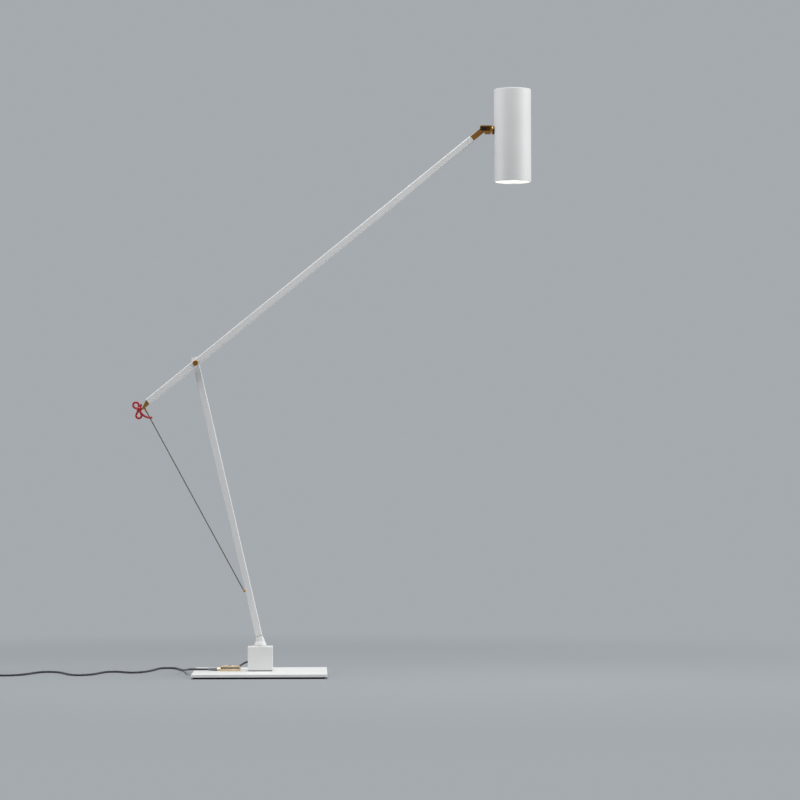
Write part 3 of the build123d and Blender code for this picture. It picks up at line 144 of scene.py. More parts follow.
class Graph(Nodes):
    """The nodes of one material."""

    def __init__(self, name: str) -> None:
        """Start a material.

        Args:
            name: The material's name.
        """
        self.material = bpy.data.materials.new(name)
        self.material.use_nodes = True
        super().__init__(self.material.node_tree)
        self.nodes.clear()
        self.output = self.add("ShaderNodeOutputMaterial")
        self.place = self.add("ShaderNodeTexCoord").outputs["Object"]

    def mapped(self, scale: Point, turn: Point = ORIGIN, centre: Point = ORIGIN) -> Socket:
        """Object coordinates about a centre, turned and then scaled.

        Args:
            scale: Scale of the pattern along each turned axis.
            turn: Turn in radians.
            centre: The point that becomes the middle of the pattern.

        Returns:
            The socket with the coordinates.
        """
        moved = self.vectors("SUBTRACT", self.place, centre)
        turned = self.add("ShaderNodeVectorRotate", {"Vector": moved, "Rotation": turn}, rotation_type="EULER_XYZ")
        return self.vectors("MULTIPLY", turned.outputs[0], scale)

    def noise(self, scale: float, detail: float = 2.0, roughness: float = 0.5, vector: Socket | None = None) -> Socket:
        """A noise pattern from 0 to 1, on Object coordinates if no others are given."""
        return self.add("ShaderNodeTexNoise", {
            "Vector": self.place if vector is None else vector,
            "Scale": scale, "Detail": detail, "Roughness": roughness}).outputs["Fac"]

    def rings(self, vector: Socket, scale: float, distortion: float = 0.0) -> Socket:
        """Fine rings about the pattern's Z axis."""
        return self.add(
            "ShaderNodeTexWave", {"Vector": vector, "Scale": scale, "Distortion": distortion, "Detail": 2.0},
            wave_type="RINGS", rings_direction="Z").outputs["Fac"]

    def scratches(self, turn: Point = ORIGIN, along: float = 90.0, across: float = 4200.0) -> Socket:
        """Fine straight scratches along one direction."""
        return self.noise(1.0, 4.0, 0.65, self.mapped((along, across, across), turn))

    def between(self, factor: Socket, low: float, high: float, near: float = 0.3, far: float = 0.7) -> Socket:
        """A pattern's range near..far carried over to low..high."""
        return self.add("ShaderNodeMapRange", {
            "Value": factor, "From Min": near, "From Max": far, "To Min": low, "To Max": high}).outputs["Result"]

    def blend(self, factor: Socket, first: Socket | Colour, second: Socket | Colour) -> Socket:
        """Two colours mixed by a pattern."""
        ends = {
            key: value if isinstance(value, Socket) else (*value, 1.0) for key, value in (("A", first), ("B", second))}
        return self.add("ShaderNodeMix", {"Factor": factor, **ends}, data_type="RGBA").outputs["Result"]

    def clouded(self, pattern: Socket, colour: Colour, cloud: Pair) -> Socket:
        """A colour that a pattern makes darker and lighter by two factors."""
        return self.blend(self.between(pattern, 0.0, 1.0), shade(colour, cloud[0]), shade(colour, cloud[1]))

    def tarnished(self, colour: Colour, scale: float = 160.0, cloud: Pair = (0.84, 1.08)) -> Socket:
        """A metal's colour with its tarnish."""
        return self.clouded(self.noise(scale, 4.0, 0.6), colour, cloud)

    def uneven(self, pattern: Socket, middle: float, spread: Pair, near: float = 0.3, far: float = 0.7) -> Socket:
        """A roughness that a pattern takes below and above its middle."""
        return self.between(pattern, middle - spread[0], middle + spread[1], near, far)

    def bump(self, height: Socket, depth: float) -> Socket:
        """A bump of a depth in metres."""
        return self.add("ShaderNodeBump", {"Height": height, "Strength": 1.0, "Distance": depth}).outputs["Normal"]

    def close(self, inputs: dict[str, object]) -> Material:
        """End the material in a Principled shader.

        Args:
            inputs: Values or sockets for the shader's inputs.

        Returns:
            The finished material.
        """
        shader = self.add("ShaderNodeBsdfPrincipled", inputs)
        self.links.new(shader.outputs["BSDF"], self.output.inputs["Surface"])
        return self.material

    def metal(self, colour: Socket, roughness: Socket, normal: Socket) -> Material:
        """End the material as bare metal."""
        return self.close({"Base Color": colour, "Metallic": 1.0, "Roughness": roughness, "Normal": normal})


@dataclass(frozen=True)
class Finish:
    """What every finish has."""

    name: str
    colour: Colour


@dataclass(frozen=True)
class SatinPaint(Finish):
    """Sprayed paint with a fine orange peel and a faint cloudiness."""

    roughness: float = 0.52
    spread: Pair = (0.05, 0.06)
    cloud: Pair = (0.975, 1.015)
    cloud_scale: float = 22.0
    fleck_scale: float = 2600.0
    peel_scale: float = 1400.0
    peel_depth: float = 0.000002

    def material(self) -> Material:
        """Build the paint.

        Returns:
            The material.
        """
        graph = Graph(self.name)
        return graph.close({
            "Base Color": graph.clouded(graph.noise(self.cloud_scale, 3.0), self.colour, self.cloud),
            "Roughness": graph.uneven(graph.noise(self.fleck_scale, 1.0), self.roughness, self.spread),
            "Normal": graph.bump(graph.noise(self.peel_scale), self.peel_depth),
        })


@dataclass(frozen=True)
class BrushedMetal(Finish):
    """Metal with fine scratches along one direction."""

    roughness: float = 0.3
    turn: Point = ORIGIN
    spread: Pair = (0.08, 0.12)
    depth: float = 0.000004

    def material(self) -> Material:
        """Build the metal.

        Returns:
            The material.
        """
        graph = Graph(self.name)
        lines = graph.scratches(self.turn)
        return graph.metal(
            graph.tarnished(self.colour), graph.uneven(lines, self.roughness, self.spread),
            graph.bump(lines, self.depth))


@dataclass(frozen=True)
class ChannelShadedBrass(Finish):
    """Brushed brass with painted shade in the channel of its front face: the brass there is darkened and made duller.
    """

    centre: Point
    half: Point
    roughness: float = 0.27
    dull: float = 0.55
    channel_shade: float = 0.22
    edge: float = 0.03
    depth: float = 0.000004

    def material(self) -> Material:
        """Build the metal.

        Returns:
            The material.
        """
        graph = Graph(self.name)
        away = graph.vectors("DIVIDE", graph.vectors("SUBTRACT", graph.place, self.centre), self.half)
        x, y, z = graph.add("ShaderNodeSeparateXYZ", {"Vector": graph.vectors("ABSOLUTE", away)}).outputs
        most = graph.maths("MAXIMUM", graph.maths("MAXIMUM", x, y), z)
        inside = graph.between(most, 1.0, 0.0, 1 - self.edge, 1 + self.edge)
        # the box round the channel gets painted shade, a dark copy of the brass
        return graph.metal(
            graph.blend(inside, graph.tarnished(self.colour), shade(self.colour, self.channel_shade)),
            graph.between(inside, self.roughness, self.dull, 0.0, 1.0), graph.bump(graph.scratches(), self.depth))


@dataclass(frozen=True)
class TurnedMetal(Finish):
    """Metal faced on a lathe: fine rings about a point."""

    centre: Point
    turn: Point = ORIGIN
    roughness: float = 0.28
    spread: Pair = (0.05, 0.1)
    tarnish_scale: float = 300.0
    tarnish: Pair = (0.82, 1.08)
    ring_scale: float = 1570.0
    ring_waver: float = 0.6
    depth: float = 0.000005

    def material(self) -> Material:
        """Build the metal.

        Returns:
            The material.
        """
        graph = Graph(self.name)
        rings = graph.rings(graph.mapped(EVEN, self.turn, self.centre), self.ring_scale, self.ring_waver)
        return graph.metal(
            graph.tarnished(self.colour, self.tarnish_scale, self.tarnish),
            graph.uneven(rings, self.roughness, self.spread, 0.0, 1.0), graph.bump(rings, self.depth))


@dataclass(frozen=True)
class MouldedPlastic(Finish):
    """Plastic or rubber with the grain of its mould."""

    roughness: float = 0.5
    grain_scale: float = 1500.0
    grain_depth: float = 0.000006
    coat: float = 0.0
    coat_roughness: float = 0.06
    cloud_scale: float = 60.0
    cloud: Pair = (0.9, 1.12)
    spread: Pair = (0.05, 0.06)

    def material(self) -> Material:
        """Build the plastic.

        Returns:
            The material.
        """
        graph = Graph(self.name)
        grain = graph.add(
            "ShaderNodeTexVoronoi", {"Vector": graph.place, "Scale": self.grain_scale}, feature="SMOOTH_F1")
        cloud = graph.noise(self.cloud_scale, 3.0)
        return graph.close({
            "Base Color": graph.clouded(cloud, self.colour, self.cloud),
            "Roughness": graph.uneven(cloud, self.roughness, self.spread),
            "Normal": graph.bump(grain.outputs["Distance"], self.grain_depth),
            "Coat Weight": self.coat,
            "Coat Roughness": self.coat_roughness,
        })


@dataclass(frozen=True)
class Lit(Finish):
    """The lamp's frosted front glass, lit from behind, with its fine concentric prisms."""

    centre: Point
    strength: float = 3.4
    roughness: float = 0.35
    prism_scale: float = 210.0
    prism_depth: float = 0.00005
    dim: float = 0.86

    def material(self) -> Material:
        """Build the lit glass.

        Returns:
            The material.
        """
        graph = Graph(self.name)
        rings = graph.rings(graph.mapped(EVEN, centre=self.centre), self.prism_scale)
        return graph.close({
            "Base Color": (*self.colour, 1.0),
            "Roughness": self.roughness,
            "Normal": graph.bump(rings, self.prism_depth),
            "Emission Color": graph.blend(rings, shade(self.colour, self.dim), self.colour),
            "Emission Strength": self.strength,
        })


@dataclass(frozen=True)
class TwoTone(Finish):
    """Plug pins: a sleeve of the finish's colour at the root and bare metal at the tip, parted along Y."""

    metal: Colour
    parting: float
    edge: float = 0.00002
    fine_scale: float = 1800.0
    roughness: Pair = (0.28, 0.42)
    depth: float = 0.00001

    def material(self) -> Material:
        """Build the pins' finish.

        Returns:
            The material.
        """
        graph = Graph(self.name)
        height = graph.add("ShaderNodeSeparateXYZ", {"Vector": graph.place}).outputs["Y"]
        bare = graph.between(height, 0.0, 1.0, self.parting - self.edge, self.parting + self.edge)
        fine = graph.noise(self.fine_scale)
        return graph.close({
            "Base Color": graph.blend(bare, self.colour, self.metal),
            "Metallic": bare,
            "Roughness": graph.between(fine, *self.roughness),
            "Normal": graph.bump(fine, self.depth),
        })


@dataclass(frozen=True)
class Sizes:
    """Places shared by several sub-assemblies, in metres."""

    arm_rise: float = math.radians(39.2)
    foot: Point = (0.0015, 0.0, 0.0446)
    half_tube: float = 0.005
    pivot: Point = (-0.097071, -0.0182, 0.468182)
    pin: Point = (0.336898, -0.011, 0.822119)
    tail_pin: Point = (-0.174468, -0.003, 0.402345)
    eyelet: Point = (-0.024610, -0.003, 0.126824)
    head_x: float = 0.380098
    arm_y: float = -0.011
    rim: float = 0.741919
    head_length: float = 0.140
    lamp_depth: float = 0.012
    pin_parting: float = 0.1195
    channel: Point = (0.338698, -0.0156, 0.822119)
    channel_half: Point = (0.0078, 0.0006, 0.0036)
    tube_corner: float = 0.0008
    soft_corner: float = 0.0014

    @property
    def lamp_front(self) -> Point:
        """Middle of the lamp's front glass."""
        return (self.head_x, self.arm_y, self.rim + self.lamp_depth)

    @property
    def arm_along(self) -> Vector:
        """Direction of the arm's axis, towards the head."""
        return Vector((math.cos(self.arm_rise), 0.0, math.sin(self.arm_rise)))

    @property
    def mast_along(self) -> Vector:
        """Direction of the mast's axis, upwards."""
        return (Vector((self.pivot[0], 0.0, self.pivot[2])) - Vector(self.foot)).normalized()


SIZES = Sizes()
BRASS_COLOUR = (0.42, 0.20, 0.05)
ARM_TILT = (0.0, SIZES.arm_rise, 0.0)
FACING = (QUARTER, 0.0, 0.0)


class Look(Enum):
    """Every finish on the lamp."""

    PAINT = SatinPaint("white_satin_paint", (0.79, 0.79, 0.785))
    PLATE_PAINT = SatinPaint("plate_paint", (0.84, 0.845, 0.83), 0.42)
    CUBE_PAINT = SatinPaint("cube_paint", (0.78, 0.785, 0.78), 0.5)
    # the spacer's dark grey is painted shade of the recess under the cube
    SPACER_SHADE_PAINT = SatinPaint("spacer_shade_paint", (0.34, 0.345, 0.35), 0.5)
    FOOT_PAINT = SatinPaint("foot_paint", (0.76, 0.76, 0.755), 0.45)
    # lighter than the outer white paint: painted light of the lamp inside the mouth, on the lamp ring
    HEAD_INSIDE_LIT = SatinPaint("head_inside_lit_paint", (0.86, 0.86, 0.84), 0.45)
    BRASS = BrushedMetal("brass", BRASS_COLOUR)
    ARM_BRASS = BrushedMetal("arm_brass", BRASS_COLOUR, 0.3, ARM_TILT)
    SCREW_BRASS = TurnedMetal("screw_brass", (0.42, 0.19, 0.045), SIZES.pivot, FACING)
    DIMMER_BRASS = BrushedMetal("dimmer_brass", (0.80, 0.64, 0.43), 0.26)
    KNUCKLE_BRASS = ChannelShadedBrass("knuckle_brass", (0.44, 0.21, 0.055), SIZES.channel, SIZES.channel_half)
    DARK_STEEL = BrushedMetal("dark_steel", (0.035, 0.03, 0.028), 0.4)
    ZINC = BrushedMetal("zinc_plate", (0.60, 0.61, 0.62), 0.33)
    ROPE = BrushedMetal("line_rope", (0.20, 0.19, 0.165), 0.45)
    BLACK = MouldedPlastic("black_plastic", (0.018, 0.018, 0.02), 0.48)
    RUBBER = MouldedPlastic("pad_rubber", (0.015, 0.015, 0.016), 0.8, 900.0, 0.00003)
    BEARING = MouldedPlastic("bearing_plastic", (0.70, 0.69, 0.65), 0.5)
    SLEEVE = MouldedPlastic("grey_sleeve", (0.22, 0.23, 0.25), 0.5)
    SHEATH = MouldedPlastic("cord_sheath", (0.022, 0.024, 0.028), 0.36, 2400.0, 0.000004)
    WIRE = MouldedPlastic("wire_insulation", (0.45, 0.10, 0.06), 0.4)
    RED = MouldedPlastic("red_gloss", (0.43, 0.002, 0.005), 0.3, 400.0, 0.000003, 0.3)
    CERAMIC = MouldedPlastic("holder_ceramic", (0.80, 0.79, 0.74), 0.35)
    SILVERED = BrushedMetal("silvered_glass", (0.75, 0.77, 0.80), 0.2)
    GLOW = Lit("lit_front_glass", (1.0, 0.97, 0.90), SIZES.lamp_front)
    PINS = TwoTone("pin_finish", (0.02, 0.02, 0.02), (0.70, 0.68, 0.62), SIZES.pin_parting)

    @cached_property
    def material(self) -> Material:
        """The material, made when it is first asked for."""
        return self.value.material()


# ---- making pieces
def link(name: str, data: bpy.types.ID) -> Piece:
    """Put data into the scene as an object at the origin.

    Args:
        name: Name of the object.
        data: Its mesh, curve, light or camera.

    Returns:
        The object.
    """
    piece = bpy.data.objects.new(name, data)
    bpy.context.scene.collection.objects.link(piece)
    return piece


def written(work: bmesh.types.BMesh, name: str, look: Look) -> Piece:
    """Turn a worked mesh into a piece of one finish, and free the work.

    Args:
        work: The worked mesh.
        name: Name of the piece.
        look: The finish.

    Returns:
        The piece.
    """
    mesh = bpy.data.meshes.new(name)
    work.to_mesh(mesh)
    work.free()
    mesh.materials.append(look.material)
    return link(name, mesh)


def settle(piece: Piece, body: Body, *nodes: str) -> Piece:
    """Let a piece ride on a body and stand for its solids.

    Args:
        piece: The finished piece.
        body: The body that carries it.
        *nodes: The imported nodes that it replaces.

    Returns:
        The piece.
    """
    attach(piece, body.value)
    if nodes:
        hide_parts(*nodes)
    LOG.info("%s rides on %s%s", piece.name, body.value, f", for {', '.join(nodes)}" if nodes else "")
    return piece


def dress(look: Look, *nodes: str) -> None:
    """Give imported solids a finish.

    Args:
        look: The finish.
        *nodes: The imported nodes.
    """
    for node in nodes:
        mesh = frame["nodes"][node].data
        if not mesh.materials:
            mesh.materials.append(look.material)
        for slot in frame["nodes"][node].material_slots:
            slot.material = look.material
        LOG.info("%s keeps its solid, in %s", node, look.material.name)


def sharpen(mesh: bmesh.types.BMesh, degrees: float) -> None:
    """Smooth all faces, and keep the sharp edges sharp.

    Args:
        mesh: The mesh to shade.
        degrees: Edges that turn by more than this stay sharp.
    """
    for face in mesh.faces:
        face.smooth = True
    for edge in mesh.edges:
        edge.smooth = not edge.is_boundary and edge.calc_face_angle(0.0) < math.radians(degrees)


def bake(piece: Piece) -> Piece:
    """Turn a piece with its modifiers into a plain mesh piece of the same name.

    Args:
        piece: The piece, which goes.

    Returns:
        The plain piece.
    """
    graph = bpy.context.evaluated_depsgraph_get()
    mesh = bpy.data.meshes.new_from_object(piece.evaluated_get(graph), depsgraph=graph)
    name = piece.name
    bpy.data.objects.remove(piece, do_unlink=True)
    mesh.name = name
    return link(name, mesh)


def twin(node: str, look: Look, bevel: float = 0.0, degrees: float = 32.0) -> Piece:
    """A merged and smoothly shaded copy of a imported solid, with its edges softened.

    Args:
        node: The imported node.
        look: The finish.
        bevel: Width of the softened edges in metres, or 0 for none.
        degrees: Edges that turn by more than this stay sharp.

    Returns:
        The new piece, which doesn't ride yet.
    """
    work = bmesh.new()
    work.from_mesh(frame["nodes"][node].data)
    bmesh.ops.remove_doubles(work, verts=work.verts, dist=MERGE)
    if bevel:
        bmesh.ops.dissolve_limit(work, angle_limit=FLAT, verts=work.verts, edges=work.edges)
    sharpen(work, degrees)
    piece = written(work, f"{node}_body", look)
    if bevel:
        soft = piece.modifiers.new("soft_edges", "BEVEL")
        soft.width, soft.segments = bevel, BEVEL_STEPS
        soft.limit_method, soft.angle_limit = "ANGLE", math.radians(degrees)
        soft.harden_normals = True
    even = piece.modifiers.new("even_normals", "WEIGHTED_NORMAL")
    even.mode, even.weight, even.keep_sharp = "FACE_AREA", BY_AREA, True
    return bake(piece)


def side_of(along: Vector) -> Vector:
    """The direction across an axis that lies in the picture's plane."""
    return along.cross(DEEP).normalized()


def round_over(piece: Piece, origin: Vector, along: Vector, sizes: Sizes) -> Piece:
    """Give a square tube's long edges a larger round, inside its own outline.

    Args:
        piece: The tube, or a cap of the same section.
        origin: A point on the tube's axis.
        along: Direction of the axis; one pair of faces looks along Y.
        sizes: The tube's half width, its corner radius and the radius that it gets.

    Returns:
        The piece.
    """
    side, half, old, new = side_of(along), sizes.half_tube, sizes.tube_corner, sizes.soft_corner
    reach = 1e-5
    for vertex in piece.data.vertices:
        offset = vertex.co - origin
        across, deep = offset.dot(side), offset.y
        if min(abs(across), abs(deep)) < half - old - reach:
            continue
        spoke = Vector((abs(across) - (half - old), abs(deep) - (half - old)))
        if abs(spoke.length - old) > reach:
            continue
        placed = Vector((half - new, half - new)) + spoke.normalized() * new
        vertex.co += side * (math.copysign(placed.x, across) - across)
        vertex.co.y += math.copysign(placed.y, deep) - deep
    return piece


def lathe(
    name: str, centre: Point, profile: list[tuple[float, float]], look: Look, steps: int = 128,
    closed: bool = False,
) -> Piece:
    """A turned piece about an upright axis.

    Args:
        name: Name of the piece.
        centre: A point on the axis; the profile's heights start from it.
        profile: Radius and height of each point of the section, in metres.
        look: The finish.
        steps: Facets round the axis.
        closed: Whether the section joins up with its own start.

    Returns:
        The piece.
    """
    work = bmesh.new()
    rings = []
    for radius, height in profile:
        angles = [TURN * step / steps for step in range(steps)] if radius else [0.0]
        rings.append([
            work.verts.new(Vector(centre) + Vector((radius * math.cos(angle), radius * math.sin(angle), height)))
            for angle in angles])
    for low, high in list(zip(rings, rings[1:])) + ([(rings[-1], rings[0])] if closed else []):
        for step in range(steps):
            after = (step + 1) % steps
            corners = [low[step % len(low)], low[after % len(low)], high[after % len(high)], high[step % len(high)]]
            unique = list(dict.fromkeys(corners))
            if len(unique) > 2:
                work.faces.new(unique)
    bmesh.ops.recalc_face_normals(work, faces=work.faces)
    sharpen(work, 40.0)
    return written(work, name, look)


def nurbs(name: str, points: list[Point], radius: float, look: Look) -> Piece:
    """A round tube along one smooth NURBS spline.

    Args:
        name: Name of the piece.
        points: Control points in metres.
        radius: Radius of the tube.
        look: The finish.

    Returns:
        The curve piece.
    """
    curve = bpy.data.curves.new(name, "CURVE")
    curve.dimensions = "3D"
    curve.resolution_u = CORD_STEPS
    curve.bevel_depth, curve.bevel_resolution = radius, CORD_FACETS
    curve.use_fill_caps = True
    spline = curve.splines.new("NURBS")
    spline.points.add(len(points) - 1)
    for target, point in zip(spline.points, points):
        target.co = (*point, 1.0)
    spline.order_u = 3
    spline.use_endpoint_u = True
    curve.materials.append(look.material)
    return link(name, curve)


class Tree(Nodes):
    """A geometry node tree that makes one piece."""

    def __init__(self, name: str, **sizes: float) -> None:
        """Start a tree with a geometry output and an input for each size.

        Args:
            name: The tree's name, and the piece's.
            **sizes: The inputs' names, and their values for this piece.
        """
        super().__init__(bpy.data.node_groups.new(name, "GeometryNodeTree"))
        self.name = name
        for way in ("INPUT", "OUTPUT"):
            self.tree.interface.new_socket("Geometry", in_out=way, socket_type="NodeSocketGeometry")
        self.values: dict[str, float] = {}
        for label, value in sizes.items():
            kind = "NodeSocketInt" if isinstance(value, int) else "NodeSocketFloat"
            socket = self.tree.interface.new_socket(label, in_out="INPUT", socket_type=kind)
            self.values[socket.identifier] = value
        source, self.sink = self.add("NodeGroupInput"), self.add("NodeGroupOutput")
        self.given = [source.outputs[label] for label in sizes]

    def scaled(self, vector: object, factor: object) -> Socket:
        """A vector times a number."""
        return self.add("ShaderNodeVectorMath", {0: vector, "Scale": factor}, operation="SCALE").outputs[0]

    def vector(self, **parts: object) -> Socket:
        """A vector from its X, Y and Z."""
        return self.add("ShaderNodeCombineXYZ", parts).outputs[0]

    def index(self) -> Socket:
        """The number of each point."""
        return self.add("GeometryNodeInputIndex").outputs[0]

    def circle(self, resolution: int, radius: object) -> Socket:
        """A round curve."""
        return self.add(
            "GeometryNodeCurvePrimitiveCircle", {"Resolution": resolution, "Radius": radius}, mode="RADIUS").outputs[0]

    def tube(self, curve: Socket, section: Socket, caps: bool = False) -> Socket:
        """A section carried along a curve."""
        return self.add(
            "GeometryNodeCurveToMesh", {"Curve": curve, "Profile Curve": section, "Fill Caps": caps}).outputs[0]

    def row(self, count: object, offset: Socket, start: object) -> Socket:
        """Points in a straight row."""
        return self.add(
            "GeometryNodeMeshLine", {"Count": count, "Start Location": start, "Offset": offset},
            mode="OFFSET").outputs[0]

    def copies(self, points: Socket, shape: Socket, rotation: Point, scale: object = EVEN) -> Socket:
        """A shape at each of some points."""
        return self.add("GeometryNodeInstanceOnPoints", {
            "Points": points, "Instance": shape, "Rotation": rotation, "Scale": scale}).outputs[0]

    def moved(self, geometry: Socket, offset: Socket) -> Socket:
        """Points moved by an offset."""
        return self.add("GeometryNodeSetPosition", {"Geometry": geometry, "Offset": offset}).outputs[0]

    def piece(self, geometry: Socket, look: Look) -> Piece:
        """End the tree, run it, and return its plain mesh.

        Args:
            geometry: The socket with the finished shape.
            look: The finish.

        Returns:
            The mesh piece.
        """
        real = self.add("GeometryNodeRealizeInstances", {"Geometry": geometry}).outputs[0]
        smooth = self.add("GeometryNodeSetShadeSmooth", {"Geometry": real, "Shade Smooth": True}).outputs[0]
        dressed = self.add("GeometryNodeSetMaterial", {"Geometry": smooth, "Material": look.material}).outputs[0]
        self.links.new(dressed, self.sink.inputs["Geometry"])
        piece = link(self.name, bpy.data.meshes.new(self.name))
        modifier = piece.modifiers.new("make", "NODES")
        modifier.node_group = self.tree
        for identifier, value in self.values.items():
            modifier[identifier] = value
        return bake(piece)


# ---- sub-assemblies
@dataclass
class Assembly:
    """A group of pieces that is dressed together."""

    sizes: Sizes

    def skins(self, body: Body, *rows: tuple) -> None:
        """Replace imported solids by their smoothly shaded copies.

        Args:
            body: The body that carries them.
            *rows: A finish, the width of the softened edges or 0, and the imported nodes.
        """
        for look, bevel, *nodes in rows:
            for node in nodes:
                settle(twin(node, look, bevel), body, node)


@dataclass
class Base(Assembly):
    """Plate, pad, cube and what is hidden in the cube."""

    def build(self) -> None:
        """Dress the base."""
        self.skins(
            Body.BASE,
            (Look.PLATE_PAINT, 0.0, "base_plate"),
            (Look.CUBE_PAINT, 0.0, "cube_housing"),
            (Look.RUBBER, 0.0004, "underside_pad"),
            (Look.SPACER_SHADE_PAINT, 0.0002, "cube_spacer"),
            (Look.BEARING, 0.00015, "swivel_bush"),
            (Look.BLACK, 0.0, "cube_gland"))
        dress(Look.BLACK, "driver_module")
        dress(Look.DARK_STEEL, "base_screws")


@dataclass
class Dimmer(Assembly):
    """The inline dimmer lying on the plate, and the sleeve on its cord."""

    left: float = -0.0646
    axis_y: float = -0.002
    axis_z: float = 0.0097
    sleeve_length: float = 0.014
    rib_count: int = 5
    rib_radius: float = 0.00235
    rib_thick: float = 0.00028
    rib_drop: float = 0.00007

    def sleeve_ribs(self) -> Piece:
        """Rings round the cord's sleeve, each smaller than the last.

        Returns:
            The piece.
        """
        gap = self.sleeve_length / (self.rib_count + 1)
        tree = Tree("sleeve_ribs", Count=self.rib_count, Step=gap, Radius=self.rib_radius, Drop=self.rib_drop)
        count, step, radius, drop = tree.given
        line = tree.row(count, tree.vector(X=tree.maths("MULTIPLY", step, -1.0)),
                        (self.left - gap, self.axis_y, self.axis_z))
        size = tree.maths("SUBTRACT", radius, tree.maths("MULTIPLY", tree.index(), drop))
        ring = tree.tube(tree.circle(32, 1.0), tree.circle(8, self.rib_thick / self.rib_radius))
        return tree.piece(tree.copies(line, ring, (0.0, QUARTER, 0.0), size), Look.SLEEVE)

    def build(self) -> None:
        """Dress the dimmer."""
        self.skins(
            Body.BASE,
            (Look.DIMMER_BRASS, 0.00018, "dimmer_frame"),
            (Look.BLACK, 0.0001, "dimmer_core"),
            (Look.DIMMER_BRASS, 0.0, "dimmer_collar"),
            (Look.SLEEVE, 0.0, "strain_relief"))
        settle(self.sleeve_ribs(), Body.BASE)
        self.skins(Body.SLIDER, (Look.BRASS, 0.0, "dimmer_knob"))


@dataclass
class Mast(Assembly):
    """The leaning tube with its foot, cap and spindle parts."""

    seam_up: float = 0.0147
    seam_high: float = 0.00035
    seam_out: float = 0.00004
    corner_steps: int = 6

    def seam_shade(self) -> Piece:
        """A thin dark ring between the foot's neck and the square tube: painted shade of the gap there.

        Returns:
            The piece.
        """
        along, wide = self.sizes.mast_along, 2 * (self.sizes.half_tube + self.seam_out)
        work = bmesh.new()
        bmesh.ops.create_cube(work, size=1.0)
        uprights = [edge for edge in work.edges if abs((edge.verts[0].co - edge.verts[1].co).z) > 0.5]
        bmesh.ops.scale(work, vec=(wide, wide, self.seam_high), verts=work.verts)
        bmesh.ops.bevel(work, geom=uprights, offset=self.sizes.soft_corner, segments=self.corner_steps,
                        profile=0.5, affect="EDGES")
        turn = Matrix((side_of(along), DEEP, along)).transposed().to_4x4()
        middle = Vector(self.sizes.foot) + along * (self.seam_up + self.seam_high / 2)
        bmesh.ops.transform(work, matrix=Matrix.Translation(middle) @ turn, verts=work.verts)
        bmesh.ops.recalc_face_normals(work, faces=work.faces)
        # the dark ring is painted shade of the gap at the tube's foot
        return written(work, "foot_seam_shade", Look.DARK_STEEL)

    def build(self) -> None:
        """Dress the mast."""
        sizes = self.sizes
        for node in ("mast_tube", "mast_top_cap"):
            tube = round_over(twin(node, Look.PAINT), Vector(sizes.foot), sizes.mast_along, sizes)
            settle(tube, Body.MAST, node)
        self.skins(Body.MAST, (Look.FOOT_PAINT, 0.0, "mast_foot"))
        # the dark ring stands for painted shade in the gap under the tube
        settle(self.seam_shade(), Body.MAST)
        self.skins(Body.MAST, (Look.BLACK, 0.0, "friction_washer"), (Look.ARM_BRASS, 0.0002, "line_eyelet"))
        dress(Look.BEARING, "thrust_washer", "mast_bush")
        dress(Look.DARK_STEEL, "spring_washer")
        dress(Look.ZINC, "swivel_nut")
        dress(Look.WIRE, "mast_wires")


